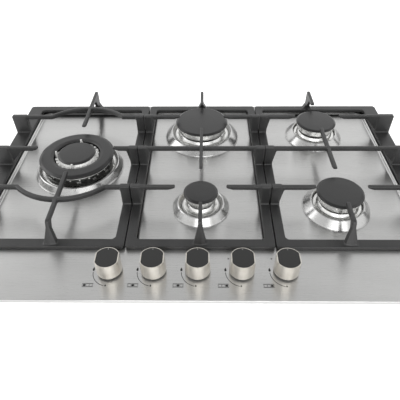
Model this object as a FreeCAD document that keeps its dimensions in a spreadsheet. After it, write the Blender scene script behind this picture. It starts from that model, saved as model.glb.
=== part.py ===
import FreeCAD, Part
import math
import operator
import os
import Sketcher

# Five-burner gas cooktop: a pressed steel top with a shallow well, three cast-iron pan
# supports, five burners and a front row of knobs over a lower box with the gas fittings.
# The origin is the centre of the steel top on the worktop plane, +Y points to the back
# of the kitchen counter and +Z up. All sizes are millimetres.

Vector = FreeCAD.Vector
doc = FreeCAD.newDocument("gas_cooktop")

SIZES = {
    # pressed steel top
    "plate_width": 750,
    "plate_depth": 500,
    "plate_rise": 6,
    "plate_corner": 5,
    "sheet": 1,
    "well_side_strip": 31,
    "well_front_strip": 96,
    "well_back_strip": 24,
    "well_drop": 4.5,
    "well_corner": 14,
    "hole_clearance": 1,
    # worktop seal and lower box
    "seal_width": 6,
    "seal_inset": 1.5,
    "box_column_reach": 53,
    "box_front_strip": 12,
    "box_back_strip": 20,
    "box_depth": 47,
    "post_radius": 4,
    "post_wall_gap": 23,
    "post_front_gap": 70,
    "post_back_gap": 30,
    "post_middle": 110,
    "vent_length": 60,
    "vent_width": 5,
    "vent_pitch": 14,
    "gland_column": -150,
    "gland_radius": 7,
    "gland_lip": 4,
    # rows and columns of the burners
    "back_row_strip": 83,
    "front_row_strip": 89,
    "column_shift": 11.55,
    # burners
    "semi_cap": 38,
    "aux_cap": 28,
    "rapid_cap": 50.5,
    "wok_cap": 66.5,
    "wok_eye": 41,
    "wok_inner_cap": 33.5,
    "semi_ring": 56,
    "aux_ring": 48.3,
    "rapid_ring": 73.5,
    "wok_ring": 80,
    "semi_crest": 43,
    "aux_crest": 38,
    "rapid_crest": 60,
    "wok_crest": 72,
    "crest_rise": 14,
    "cap_top": 38,
    "wok_cap_top": 34.5,
    "cap_thickness": 4.5,
    "cap_overhang": 3,
    "crown_draft": 4,
    "crown_wall": 3,
    "crown_flare": 8.5,
    "venturi": 8,
    "venturi_wall": 2,
    "port_width": 1.8,
    "port_depth": 5,
    "seat_rise": 8.5,
    "cup_flange": 3,
    "cup_bottom": -30,
    "cup_base": 12,
    "cup_wall": 3,
    "flange_reach": 8.5,
    "wok_flange_reach": 6.5,
    "wok_neck": 43,
    "probe_offset": 5,
    "probe_sleeve": 2.4,
    "probe_wire": 0.9,
    "wok_probe": 37.4,
    "fit": 0.25,
    "running": 0.05,
    # pan supports
    "support_side_strip": 2,
    "centre_width": 225,
    "support_gap": 1.6,
    "support_front_strip": 88,
    "support_back_strip": 11,
    "rail_bottom": 7.5,
    "rail_height": 6,
    "outer_rail": 28,
    "inner_rail": 15,
    "end_rail": 16,
    "support_corner": 5,
    "support_top": 50,
    "finger_width": 6,
    "finger_depth": 8,
    "tip_depth": 4.5,
    "ear_depth": 10,
    "post_flare": 9.6,
    "gusset_rise": 12,
    "post_lean": 10,
    "outer_gusset": 22,
    "inner_gusset": 5,
    "small_tip": 40.5,
    "rear_tip": 42,
    "wok_tip": 67,
    "long_tip": 45,
    "short_tip": 36,
    "arc_bulge": 31,
    "arc_half": 72,
    "foot_radius": 5,
    # knobs and valves
    "knob_row_strip": 50,
    "knob_shift": -3,
    "knob_pitch": 63,
    "knob_radius": 18.4,
    "knob_top": 36,
    "knob_lift": 3.4,
    "knob_wall": 3.2,
    "knob_rim": 1.1,
    "knob_flat_top": 16.2,
    "knob_flat_foot": 18.5,
    "insert_thickness": 1.8,
    "spindle": 4,
    "spindle_flat": 2.8,
    "spindle_top": 28,
    "collar_radius": 14.4,
    "collar_height": 2.4,
    "valve_width": 26,
    "valve_length": 24,
    "valve_top": -6,
    "valve_height": 24,
    # gas pipes
    "rail_pipe": 7,
    "rail_pipe_bore": 5.5,
    "rail_pipe_front_gap": 14,
    "rail_pipe_level": -18,
    "rail_pipe_side_gap": 16,
    "rail_pipe_end_gap": 40,
    "rail_pipe_bend": 20,
    "feed_pipe": 4,
    "feed_pipe_bore": 3,
    "feed_level": -22,
    "feed_bend": 14,
    "elbow_half": 9,
    "elbow_reach": 13,
    "elbow_nut": 3,
    "inlet_radius": 10.48,
    "inlet_length": 14,
    # spark module and leads
    "module_column": -120,
    "module_back_gap": 40,
    "module_length": 70,
    "module_depth": 34,
    "module_height": 24,
    "terminal_edge": 9,
    "terminal_pitch": 13,
    "terminal_rise": 12,
    "terminal_length": 5,
    "terminal_radius": 2.2,
    "lead": 1.6,
    "lead_bend": 4.4,
    # fasteners
    "screw_radius": 1.5,
    "screw_head": 2.8,
    "screw_head_height": 1.6,
    "clamp_row": 120,
    "clamp_sheet": 2,
    "clamp_length": 20,
    "clamp_foot": 12,
    "clamp_height": 30,
    "clamp_lift": 3,
}


class Length:
    """A size that carries its value and its formula over the sheet's cells."""

    def __init__(self, value, formula):
        self.value = value
        self.formula = formula

    def __add__(self, other):
        return combine(self, "+", other)

    def __radd__(self, other):
        return combine(other, "+", self)

    def __sub__(self, other):
        return combine(self, "-", other)

    def __rsub__(self, other):
        return combine(other, "-", self)

    def __mul__(self, other):
        return combine(self, "*", other)

    def __rmul__(self, other):
        return combine(other, "*", self)

    def __truediv__(self, other):
        return combine(self, "/", other)

    def __neg__(self):
        return combine(0, "-", self)


OPERATIONS = {"+": operator.add, "-": operator.sub, "*": operator.mul, "/": operator.truediv}


def as_length(size):
    if isinstance(size, Length):
        return size
    return Length(float(size), f"({float(size)!r})")


def combine(left, sign, right):
    first = as_length(left)
    second = as_length(right)
    value = OPERATIONS[sign](first.value, second.value)
    return Length(value, f"({first.formula} {sign} {second.formula})")


class Sheet:
    """The driving dimensions, read as attributes such as at.plate_width."""

    def __init__(self, sizes):
        self.cells = doc.addObject("Spreadsheet::Sheet", "Sizes")
        for row, (name, value) in enumerate(sizes.items(), start=1):
            self.cells.set(f"A{row}", name)
            self.cells.set(f"B{row}", str(value))
            self.cells.setAlias(f"B{row}", name)
            setattr(self, name, Length(float(value), f"Sizes.{name}"))


at = Sheet(SIZES)
doc.recompute()
nodes = []


def bind(thing, path, size):
    thing.setExpression(path, as_length(size).formula)


def place(thing, x=0, y=0, z=0):
    for axis, size in zip("xyz", (x, y, z)):
        bind(thing, f"Placement.Base.{axis}", size)


def node(thing, label):
    """Keep a finished piece under the name that its file gets."""
    thing.Label = label
    nodes.append(thing)
    return thing


# ---- primitives and booleans ----

AXIS_TURN = {
    "X": FreeCAD.Rotation(Vector(0, 1, 0), 90),
    "Y": FreeCAD.Rotation(Vector(1, 0, 0), -90),
    "Z": FreeCAD.Rotation(),
}


def box(corner, extent, name="Block"):
    block = doc.addObject("Part::Box", name)
    for path, size in zip(("Length", "Width", "Height"), extent):
        bind(block, path, size)
    place(block, *corner)
    return block


def rod(start, radius, length, axis="Z", name="Rod"):
    cylinder = doc.addObject("Part::Cylinder", name)
    cylinder.Placement = FreeCAD.Placement(Vector(), AXIS_TURN[axis])
    bind(cylinder, "Radius", radius)
    bind(cylinder, "Height", length)
    place(cylinder, *start)
    return cylinder


def fuse(parts, name="Joined"):
    joined = doc.addObject("Part::MultiFuse", name)
    joined.Shapes = list(parts)
    return joined


def cut(base, tools, name="Cut"):
    difference = doc.addObject("Part::Cut", name)
    difference.Base = base
    difference.Tool = tools[0] if len(tools) == 1 else fuse(tools, "Tools")
    return difference


def group(parts, name="Group"):
    """Separate like solids kept as one piece of the list."""
    together = doc.addObject("Part::Compound", name)
    together.Links = list(parts)
    return together


# ---- sketched bodies ----

def new_body(name):
    return doc.addObject("PartDesign::Body", name)


def plane_of(body, role):
    return next(item for item in body.Origin.OriginFeatures if item.Role == role)


def arc_centre(start, end, radius):
    """Centre of the short arc between two points; a negative radius turns clockwise."""
    middle = ((start[0] + end[0]) / 2, (start[1] + end[1]) / 2)
    run = (end[0] - start[0], end[1] - start[1])
    chord = math.hypot(*run)
    offset = math.sqrt(radius ** 2 - chord ** 2 / 4)
    side = math.copysign(offset / chord, radius)
    return middle[0] - run[1] * side, middle[1] + run[0] * side


def add_edge(sketch, start, end, radius):
    """One edge of an outline; returns its index and which of its ends comes first."""
    if radius is None:
        line = Part.LineSegment(Vector(*start, 0), Vector(*end, 0))
        return sketch.addGeometry(line, False), 1, 2
    centre = arc_centre(start, end, radius)
    first, last = (start, end) if radius > 0 else (end, start)
    angles = [math.atan2(spot[1] - centre[1], spot[0] - centre[0]) for spot in (first, last)]
    circle = Part.Circle(Vector(*centre, 0), Vector(0, 0, 1), abs(radius))
    if angles[1] < angles[0]:
        angles[1] += 2 * math.pi
    edge = sketch.addGeometry(Part.ArcOfCircle(circle, *angles), False)
    return (edge, 1, 2) if radius > 0 else (edge, 2, 1)


def pin_point(sketch, edge, end, point):
    """Tie a corner of an outline to its formula."""
    for kind, size, axis in (("DistanceX", point[0], -2), ("DistanceY", point[1], -1)):
        if size.value == 0:
            sketch.addConstraint(Sketcher.Constraint("PointOnObject", edge, end, axis))
            continue
        index = sketch.addConstraint(Sketcher.Constraint(kind, -1, 1, edge, end, size.value))
        bind(sketch, f"Constraints[{index}]", size)


def outline(body, plane, points, offset=0):
    """A closed sketch through points (x, y) or (x, y, radius of the arc to the next one)."""
    sketch = body.newObject("Sketcher::SketchObject", "Outline")
    sketch.AttachmentSupport = [(plane_of(body, plane), "")]
    sketch.MapMode = "FlatFace"
    bind(sketch, "AttachmentOffset.Base.z", offset)
    corners = [(as_length(point[0]), as_length(point[1])) for point in points]
    radii = [as_length(point[2]) if len(point) > 2 else None for point in points]
    edges = []
    for index, corner in enumerate(corners):
        following = corners[(index + 1) % len(corners)]
        start = (corner[0].value, corner[1].value)
        end = (following[0].value, following[1].value)
        radius = radii[index].value if radii[index] else None
        edges.append(add_edge(sketch, start, end, radius))
    for index, (edge, first, last) in enumerate(edges):
        following, its_first, its_last = edges[(index + 1) % len(edges)]
        sketch.addConstraint(Sketcher.Constraint("Coincident", edge, last, following, its_first))
        pin_point(sketch, edge, first, corners[index])
        if radii[index]:
            radius = radii[index] if radii[index].value > 0 else -radii[index]
            number = sketch.addConstraint(Sketcher.Constraint("Radius", edge, radius.value))
            bind(sketch, f"Constraints[{number}]", radius)
    return sketch


def rectangle(left, right, front, back, corner=None):
    """Corners of a rectangle, rounded when a corner radius is given."""
    if corner is None:
        return [(left, front), (right, front), (right, back), (left, back)]
    return [
        (left + corner, front), (right - corner, front, corner),
        (right, front + corner), (right, back - corner, corner),
        (right - corner, back), (left + corner, back, corner),
        (left, back - corner), (left, front + corner, corner),
    ]


def pad(body, sketch, length, taper=0, both_ways=False):
    feature = body.newObject("PartDesign::Pad", "Pad")
    feature.Profile = sketch
    bind(feature, "Length", length)
    feature.TaperAngle = taper
    if both_ways:
        feature.SideType = "Symmetric"
    body.Tip = feature
    return feature


def pocket(body, sketch, length):
    feature = body.newObject("PartDesign::Pocket", "Pocket")
    feature.Profile = sketch
    bind(feature, "Length", length)
    body.Tip = feature
    return feature


def repeat_round(body, feature, count):
    """Repeat a feature round the body's upright axis."""
    pattern = body.newObject("PartDesign::PolarPattern", "Ring")
    pattern.Originals = [feature]
    pattern.Axis = (plane_of(body, "Z_Axis"), [""])
    pattern.Angle = 360
    pattern.Occurrences = count
    body.Tip = pattern
    return pattern


def turned(points, name="Turned"):
    """A body of revolution about the upright axis, from (radius, height) points."""
    body = new_body(name)
    sketch = outline(body, "XZ_Plane", points)
    feature = body.newObject("PartDesign::Revolution", "Revolution")
    feature.Profile = sketch
    feature.ReferenceAxis = (sketch, ["V_Axis"])
    feature.Angle = 360
    body.Tip = feature
    return body


def slab(points, bottom, height, name="Slab", taper=0):
    """An upright prism over a plan outline."""
    body = new_body(name)
    pad(body, outline(body, "XY_Plane", points, bottom), height, taper)
    return body


# ---- levels shared by the pieces ----

rim_top = at.plate_rise
floor_top = rim_top - at.well_drop
floor_under = floor_top - at.sheet
seat_top = floor_top + at.seat_rise
cap_under = at.cap_top - at.cap_thickness
wok_cap_under = at.wok_cap_top - at.cap_thickness
rail_top = at.rail_bottom + at.rail_height
finger_under = at.support_top - at.finger_depth
box_bottom = -at.box_depth
box_floor = box_bottom + at.sheet
electrode_foot = at.cup_bottom - 4

# ---- plan lines shared by the pieces ----

plate_half = at.plate_width / 2
plate_back = at.plate_depth / 2
plate_front = -plate_back
well_half = plate_half - at.well_side_strip
well_front = plate_front + at.well_front_strip
well_back = plate_back - at.well_back_strip
box_front = plate_front + at.box_front_strip
box_back = plate_back - at.box_back_strip
support_front = plate_front + at.support_front_strip
support_back = plate_back - at.support_back_strip
support_inner = at.centre_width / 2 + at.support_gap
back_row = well_back - at.back_row_strip
front_row = well_front + at.front_row_strip
middle_row = (back_row + front_row) / 2
side_column = (support_inner + at.inner_rail + well_half) / 2 - at.column_shift
box_half = side_column + at.box_column_reach
knob_row = plate_front + at.knob_row_strip
rail_pipe_front = box_front + at.rail_pipe_front_gap
rail_pipe_side = box_half - at.rail_pipe_side_gap
rail_pipe_end = box_back - at.rail_pipe_end_gap
module_front = box_back - at.module_back_gap


class Burner:
    """Place and radii of one burner, worked out from its cap and trim ring."""

    def __init__(self, name, x, y, cap, ring, crest, ports):
        self.name = name
        self.x = x
        self.y = y
        self.cap = cap
        self.ring = ring
        self.crest = crest
        self.ports = ports
        self.crown = cap - at.cap_overhang
        self.foot = self.crown - at.crown_draft
        self.flange = self.foot + at.flange_reach
        self.neck = self.foot - 2
        self.probe = self.foot + at.probe_offset
        self.screws = self.foot + at.screw_head + at.running


WOK = Burner("wok", -side_column, middle_row, at.wok_cap, at.wok_ring, at.wok_crest, 40)
WOK.flange = WOK.foot + at.wok_flange_reach
WOK.neck = at.wok_neck
WOK.probe = at.wok_probe
RAPID = Burner("rapid", as_length(0), back_row, at.rapid_cap, at.rapid_ring, at.rapid_crest, 36)
AUX = Burner("auxiliary", as_length(0), front_row, at.aux_cap, at.aux_ring, at.aux_crest, 20)
REAR = Burner("rear_right", side_column, back_row, at.semi_cap, at.semi_ring, at.semi_crest, 28)
FRONT = Burner("front_right", side_column, front_row, at.semi_cap, at.semi_ring,
               at.semi_crest, 28)
BURNERS = [WOK, RAPID, AUX, REAR, FRONT]
SIMPLE_BURNERS = [RAPID, AUX, REAR, FRONT]
KNOBS = range(1, 6)


def knob_x(number):
    return at.knob_shift + at.knob_pitch * (number - 3)


def polar(burner, radius, angle):
    """A spot on a circle round a burner's axis; the angle counts from +X."""
    turn = math.radians(angle)
    return (burner.x + radius * round(math.cos(turn), 6),
            burner.y + radius * round(math.sin(turn), 6))


SPARK_ANGLE = 128
SENSOR_ANGLE = 52


# ---- steel top, seal and lower box ----

def make_top_plate():
    skin = slab(rectangle(-plate_half, plate_half, plate_front, plate_back, at.plate_corner),
                0, rim_top, "Skin")
    inner_width = plate_half - at.sheet
    inner_depth = plate_back - at.sheet
    under = slab(rectangle(-inner_width, inner_width, -inner_depth, inner_depth,
                           at.plate_corner - at.sheet), 0, rim_top - at.sheet, "Underside")
    slope = at.well_drop
    half_well = well_half - slope
    front = well_front + slope
    back = well_back - slope
    space = slab(rectangle(-half_well, half_well, front, back, at.well_corner),
                 floor_top, at.well_drop, "WellSpace", 45)
    skin_step = at.sheet * (math.sqrt(2) - 1)
    form = slab(rectangle(-half_well - skin_step, half_well + skin_step, front - skin_step,
                          back + skin_step, at.well_corner + skin_step),
                floor_under, at.well_drop + at.sheet, "WellForm", 45)
    holes = [space]
    for burner in BURNERS:
        holes.append(rod((burner.x, burner.y, 0), burner.neck + at.hole_clearance, floor_top + 1))
        for angle in (0, 180):
            holes.append(rod((*polar(burner, burner.screws, angle), 0), at.screw_radius + at.fit,
                             floor_top + 1))
        if burner is WOK:
            continue
        for angle in (SPARK_ANGLE, SENSOR_ANGLE):
            holes.append(rod((*polar(burner, burner.probe, angle), 0),
                             at.probe_sleeve + at.fit, floor_top + 1))
    for number in KNOBS:
        holes.append(rod((knob_x(number), knob_row, 0), at.spindle + at.hole_clearance,
                         rim_top + 1))
    plate = cut(fuse([cut(skin, [under]), form]), holes, "TopPlate")
    node(plate, "top_plate")


def make_worktop_seal():
    half_width = plate_half - at.seal_inset
    half_depth = plate_back - at.seal_inset
    body = slab(rectangle(-half_width, half_width, -half_depth, half_depth, at.plate_corner), 0,
                rim_top - at.sheet, "WorktopSeal")
    opening = outline(body, "XY_Plane", rectangle(
        -half_width + at.seal_width, half_width - at.seal_width,
        -half_depth + at.seal_width, half_depth - at.seal_width), rim_top)
    pocket(body, opening, rim_top * 2)
    node(body, "worktop_seal")


def post_spots():
    """Where the posts that hold the steel top on the box stand."""
    side = box_half - at.post_wall_gap
    front = box_front + at.post_front_gap
    back = box_back - at.post_back_gap
    return [(-side, front + at.post_radius * 4.5), (side - 30, front), (-side, back),
            (at.post_middle, back)]


def make_lower_box():
    depth = box_back - box_front
    wall = at.sheet
    shell = box((-box_half, box_front, box_bottom),
                (box_half * 2, depth, floor_under - box_bottom))
    ends = [box((-box_half, y, box_bottom), (box_half * 2, wall, rim_top - wall - box_bottom))
            for y in (box_front, box_back - wall)]
    inside = box((-box_half + wall, box_front + wall, box_floor),
                 (box_half * 2 - wall * 2, depth - wall * 2, rim_top * 2 - box_floor))
    through = wall * 4
    inlet_hole = rod((rail_pipe_side, inlet_y, box_bottom - 1), at.inlet_radius + 6, through)
    gland_hole = rod((at.gland_column, box_back - wall - 1, gland_level), at.gland_radius,
                     through, "Y")
    vents = [box((at.vent_length * column - at.vent_length / 2, at.vent_pitch * row - 6,
                  box_bottom - 1), (at.vent_length, at.vent_width, through))
             for column in (-2.2, 0, 2.2) for row in (-1, 0, 1)]
    walls = cut(fuse([shell, *ends]), [inside, inlet_hole, gland_hole, *vents], "Walls")
    posts = [rod((x, y, box_bottom), at.post_radius, floor_under - box_bottom)
             for x, y in post_spots()]
    node(fuse([walls, *posts], "LowerBox"), "lower_box")


# ---- burners ----

def make_trim_ring(burner):
    """Polished ring: rolled outer lip, sloping flank, rounded crest, dished inside."""
    lip = 1.4
    crest_top = floor_top + at.crest_rise
    inner = burner.flange - 0.8
    seat = seat_top - at.cup_flange
    body = turned([
        (burner.ring - lip, floor_top), (burner.ring, floor_top, lip),
        (burner.ring - lip, floor_top + lip),
        (burner.ring - lip * 2, floor_top + lip * 1.5),
        (burner.crest + 1.6, crest_top - 1.4, 2.2),
        (burner.crest - 1.6, crest_top - 1.0),
        (burner.flange + 1.6, seat),
        (inner, seat), (inner, seat - at.sheet),
        (burner.flange + 2.4, seat - at.sheet),
        (burner.crest - 0.6, crest_top - 2.2),
        (burner.crest + 0.6, crest_top - 2.4),
        (burner.ring - lip * 3, floor_top + lip * 1.2),
    ], "TrimRing")
    place(body, burner.x, burner.y)
    node(body, f"trim_ring_{burner.name}")


def make_cup(burner):
    """Cast cup under a simple burner, with a side bore for its gas pipe."""
    shoulder = burner.neck + 5.5
    cavity = burner.neck - at.cup_wall
    seat = seat_top - at.cup_flange
    body = turned([
        (0, at.cup_bottom), (burner.neck, at.cup_bottom), (burner.neck, floor_top),
        (shoulder, floor_top), (shoulder, seat), (burner.flange, seat),
        (burner.flange, seat_top), (cavity, seat_top), (cavity, at.cup_bottom + at.cup_base),
        (0, at.cup_bottom + at.cup_base),
    ], "Cup")
    place(body, burner.x, burner.y)
    holes = cup_holes(burner)
    node(cut(body, holes, "BurnerCup"), f"burner_cup_{burner.name}")


def cup_holes(burner):
    holes = [rod((burner.x, burner.y, at.cup_bottom + at.cup_base - 5), 2.5, 8)]
    for angle in (0, 180):
        holes.append(rod((*polar(burner, burner.screws, angle), floor_top - 1),
                         at.screw_radius + at.fit, seat_top))
    for angle in (SPARK_ANGLE, SENSOR_ANGLE):
        holes.append(rod((*polar(burner, burner.probe, angle), at.cup_bottom - 1),
                         at.probe_sleeve + at.fit, seat_top - at.cup_bottom + 2))
    return holes


def make_wok_cup():
    """Cast cup of the wok burner: an outer chamber round an inner one."""
    burner = WOK
    seat = seat_top - at.cup_flange
    cavity = burner.neck - at.cup_wall
    inner_wall = cavity - 12
    inner = inner_wall - at.cup_wall
    base = at.cup_bottom + at.cup_base
    shoulder = burner.foot + at.wok_flange_reach - 4
    body = turned([
        (0, at.cup_bottom), (burner.neck, at.cup_bottom), (burner.neck, floor_top),
        (shoulder, floor_top), (shoulder, seat), (burner.flange, seat),
        (burner.flange, seat_top), (cavity, seat_top), (cavity, base), (inner_wall, base),
        (inner_wall, seat_top), (inner, seat_top), (inner, base), (0, base),
    ], "WokCup")
    place(body, burner.x, burner.y)
    node(cut(body, cup_holes(burner), "BurnerCupWok"), "burner_cup_wok")


def crown_outline(foot, top, roof):
    """Half section of a flame crown with its mixing tube."""
    tube = at.venturi + at.venturi_wall
    flare = roof - at.crown_flare
    return [
        (at.venturi, floor_top), (tube, floor_top), (tube, seat_top), (foot - 1, seat_top),
        (foot - 1, flare - 3), (top - 0.6, flare), (top, flare + 1), (top, roof),
        (top - at.crown_wall, roof), (top - at.crown_wall, flare + 2), (tube, flare + 2),
        (tube, roof - 3), (at.venturi, roof - 3),
    ]


def cut_ports(body, radius, wall, roof, depth, width, count):
    """Slots through the crown's upper wall, open at the top under the cap."""
    slot = outline(body, "XY_Plane", rectangle(radius - wall - 1, radius + 1, -width / 2,
                                               width / 2), roof)
    repeat_round(body, pocket(body, slot, depth), count)


def make_crown(burner):
    body = turned(crown_outline(burner.foot, burner.crown, cap_under), "Crown")
    cut_ports(body, burner.crown, at.crown_wall, cap_under, at.port_depth, at.port_width,
              burner.ports)
    place(body, burner.x, burner.y)
    node(body, f"burner_crown_{burner.name}")


def cap_outline(radius, under, top, skirt):
    """Half section of an enamelled cap: rounded edge, slight dome, locating skirt."""
    edge = 1.2
    shoulder = 2.4
    return [
        (0, under), (skirt - 2, under), (skirt - 2, under - 2), (skirt, under - 2),
        (skirt, under), (radius - edge, under, edge), (radius, under + edge),
        (radius, top - shoulder - 0.4, shoulder), (radius - shoulder, top - 0.4), (0, top),
    ]


def make_cap(burner):
    skirt = burner.crown - at.crown_wall - 0.5
    body = turned(cap_outline(burner.cap, cap_under, at.cap_top, skirt), "Cap")
    place(body, burner.x, burner.y)
    node(body, f"burner_cap_{burner.name}")


def make_wok_crowns():
    """Outer crown ring with side ports, and the inner crown with four flame bridges."""
    burner = WOK
    eye = at.wok_eye + 1
    roof = wok_cap_under
    wall = at.crown_wall
    outer = turned([
        (eye, seat_top), (burner.foot, seat_top), (burner.foot + 0.8, roof - 6),
        (burner.crown - 1, roof - 5), (burner.crown - 1, roof),
        (burner.crown - 1 - wall, roof), (burner.crown - 1 - wall, roof - 5),
        (burner.foot - wall, roof - 7), (burner.foot - wall, seat_top + wall),
        (eye + wall, seat_top + wall), (eye + wall, roof), (eye, roof),
    ], "WokOuterCrown")
    cut_ports(outer, burner.crown - 1, wall, roof, 4, 3, burner.ports)
    window = outline(outer, "XY_Plane", rectangle(burner.foot - wall - 3, burner.foot + 3,
                                                  as_length(-9), as_length(9)), seat_top + 8)
    repeat_round(outer, pocket(outer, window, 4), 6)
    place(outer, burner.x, burner.y)
    node(outer, "burner_crown_wok_outer")

    top = at.wok_inner_cap - at.cap_overhang
    inner = turned(crown_outline(top - at.crown_draft, top, cap_under), "WokInnerCrown")
    cut_ports(inner, top, wall, cap_under, at.port_depth, at.port_width, 16)
    bridge = outline(inner, "XZ_Plane", [
        (top - 3, cap_under - 14), (eye - 2.5, cap_under - 14), (eye - 2.5, at.cap_top - 2),
        (eye - 5, at.cap_top - 2), (eye - 5.4, cap_under - 8), (top - 3, cap_under - 8)])
    repeat_round(inner, pad(inner, bridge, 2.4, both_ways=True), 4)
    place(inner, burner.x, burner.y)
    node(inner, "burner_crown_wok_inner")


def make_wok_caps():
    burner = WOK
    under = wok_cap_under
    top = at.wok_cap_top
    inner_skirt = at.wok_eye + 1 + at.crown_wall + 0.5
    outer_edge = 2.6
    ring = turned([
        (at.wok_eye, under), (inner_skirt, under), (inner_skirt, under - 2),
        (inner_skirt + 2, under - 2), (inner_skirt + 2, under), (burner.cap - 1, under, 1.2),
        (burner.cap, under + 1.2), (burner.cap, top - outer_edge - 0.2, outer_edge),
        (burner.cap - outer_edge, top - 0.2), (burner.cap - 8, top), (at.wok_eye + 5, top),
        (at.wok_eye + 1, top - 1), (at.wok_eye, top - 2.4),
    ], "WokRingCap")
    place(ring, burner.x, burner.y)
    node(ring, "burner_cap_wok_outer")
    skirt = at.wok_inner_cap - at.cap_overhang - at.crown_wall - 0.5
    inner = turned(cap_outline(at.wok_inner_cap, cap_under, at.cap_top, skirt), "WokInnerCap")
    place(inner, burner.x, burner.y)
    node(inner, "burner_cap_wok_inner")


def make_burner_fittings():
    """Brass injectors, spark electrodes, flame sensors and the screws of the cups."""
    base = at.cup_bottom + at.cup_base
    injectors = []
    sparks = []
    sensors = []
    screws = []
    for burner in BURNERS:
        injectors.append(fuse([rod((burner.x, burner.y, base - 5), 2.5, 5),
                               rod((burner.x, burner.y, base), 5, 4),
                               rod((burner.x, burner.y, base + 4), 3, 4)]))
        x, y = polar(burner, burner.probe, SPARK_ANGLE)
        sleeve_top = cap_under - 10
        sparks.append(fuse([
            rod((x, y, electrode_foot), at.probe_sleeve, sleeve_top - electrode_foot),
            rod((x, y, sleeve_top), at.probe_wire, 6.5)]))
        x, y = polar(burner, burner.probe, SENSOR_ANGLE)
        sleeve_top = seat_top + 6
        sensors.append(fuse([
            rod((x, y, electrode_foot), at.probe_sleeve, sleeve_top - electrode_foot),
            rod((x, y, sleeve_top), at.probe_wire, cap_under - 5 - sleeve_top)]))
        for angle in (0, 180):
            x, y = polar(burner, burner.screws, angle)
            screws.append(fuse([rod((x, y, floor_under - 2), at.screw_radius,
                                    seat_top - floor_under + 2),
                                rod((x, y, seat_top), at.screw_head - at.running,
                                    at.screw_head_height)]))
    node(group(injectors, "Injectors"), "gas_injectors")
    node(group(sparks, "Sparks"), "spark_electrodes")
    node(group(sensors, "Sensors"), "flame_sensors")
    node(group(screws, "BurnerScrews"), "burner_screws")


def make_burners():
    for burner in BURNERS:
        make_trim_ring(burner)
    for burner in SIMPLE_BURNERS:
        make_cup(burner)
        make_crown(burner)
        make_cap(burner)
    make_wok_cup()
    make_wok_crowns()
    make_wok_caps()
    make_burner_fittings()


# ---- pan supports ----

class Support:
    """Outline of one cast pan support: its sides and how wide each side rail is."""

    def __init__(self, name, left, right, left_rail, right_rail, column):
        self.name = name
        self.left = left
        self.right = right
        self.left_rail = left_rail
        self.right_rail = right_rail
        self.column = column
        self.inner_left = left + left_rail
        self.inner_right = right - right_rail


def side_support(name, sign):
    outer = plate_half - at.support_side_strip
    if sign < 0:
        return Support(name, -outer, -support_inner, at.outer_rail, at.inner_rail,
                       -side_column)
    return Support(name, support_inner, outer, at.inner_rail, at.outer_rail, side_column)


def frame_body(support):
    """Flat outer frame of a pan support."""
    body = slab(rectangle(support.left, support.right, support_front, support_back,
                          at.support_corner), at.rail_bottom, at.rail_height, "Support")
    inner = rectangle(support.inner_left, support.inner_right,
                      support_front + at.end_rail, support_back - at.end_rail,
                      at.support_corner + 2)
    pocket(body, outline(body, "XY_Plane", inner, rail_top + 1), at.rail_height + 2)
    return body


def add_ear(body, row, outer, inner):
    """Raised block over a side rail."""
    corners = rectangle(outer, inner, rail_top, at.support_top)
    pad(body, outline(body, "XZ_Plane", corners, -row), at.ear_depth, both_ways=True)


def add_cross_bar(body, support, row):
    """Bar from ear to ear, with a gusset down to each side rail."""
    left_gusset = gusset_of(support.left_rail)
    right_gusset = gusset_of(support.right_rail)
    points = [
        (support.left + 2, rail_top), (support.inner_left, rail_top),
        (support.inner_left, rail_top + 4),
        (support.inner_left + left_gusset, finger_under),
        (support.inner_right - right_gusset, finger_under),
        (support.inner_right, rail_top + 4),
        (support.inner_right, rail_top), (support.right - 2, rail_top),
        (support.right - 2, at.support_top), (support.left + 2, at.support_top),
    ]
    pad(body, outline(body, "XZ_Plane", points, -row), at.finger_width, both_ways=True)


def gusset_of(rail):
    return at.outer_gusset if rail is at.outer_rail else at.inner_gusset


def add_side_finger(body, row, outer, inner, tip, gusset):
    """Finger from an ear towards a burner; it runs left to right or right to left."""
    way = 1 if tip.value > outer.value else -1
    points = [
        (outer + way * 2, rail_top), (inner, rail_top), (inner, rail_top + 4),
        (inner + way * gusset, finger_under), (tip - way * 12, finger_under),
        (tip - way * 1.5, at.support_top - at.tip_depth), (tip, at.support_top - 2),
        (tip - way * 1.5, at.support_top), (outer + way * 2, at.support_top),
    ]
    pad(body, outline(body, "XZ_Plane", points, -row), at.finger_width, both_ways=True)


def add_side_fingers(body, support, row, reach):
    """Pair of fingers that point at a burner from the left and from the right."""
    add_side_finger(body, row, support.left, support.inner_left, support.column - reach,
                    gusset_of(support.left_rail))
    add_side_finger(body, row, support.right, support.inner_right, support.column + reach,
                    gusset_of(support.right_rail))


def add_back_finger(body, column, tip):
    """Finger from a post on the back rail forward to a burner."""
    back = support_back
    inner = back - at.end_rail
    points = [
        (back, rail_top), (back, at.support_top - 2), (back - 2.5, at.support_top),
        (tip + 1.5, at.support_top), (tip, at.support_top - 2),
        (tip + 1.5, at.support_top - at.tip_depth), (tip + 12, finger_under),
        (inner - 14, finger_under), (inner, rail_top + 6), (inner, rail_top),
    ]
    pad(body, outline(body, "YZ_Plane", points, column), at.finger_width, both_ways=True)


def add_middle_finger(body, column, front_tip, back_tip):
    """Finger that lies across the middle bar and points at the burners on both sides."""
    points = [
        (front_tip, at.support_top - 2), (front_tip + 1.5, at.support_top),
        (back_tip - 1.5, at.support_top), (back_tip, at.support_top - 2),
        (back_tip - 1.5, at.support_top - at.tip_depth), (back_tip - 12, finger_under),
        (front_tip + 12, finger_under), (front_tip + 1.5, at.support_top - at.tip_depth),
    ]
    pad(body, outline(body, "YZ_Plane", points, column), at.finger_width, both_ways=True)


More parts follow.
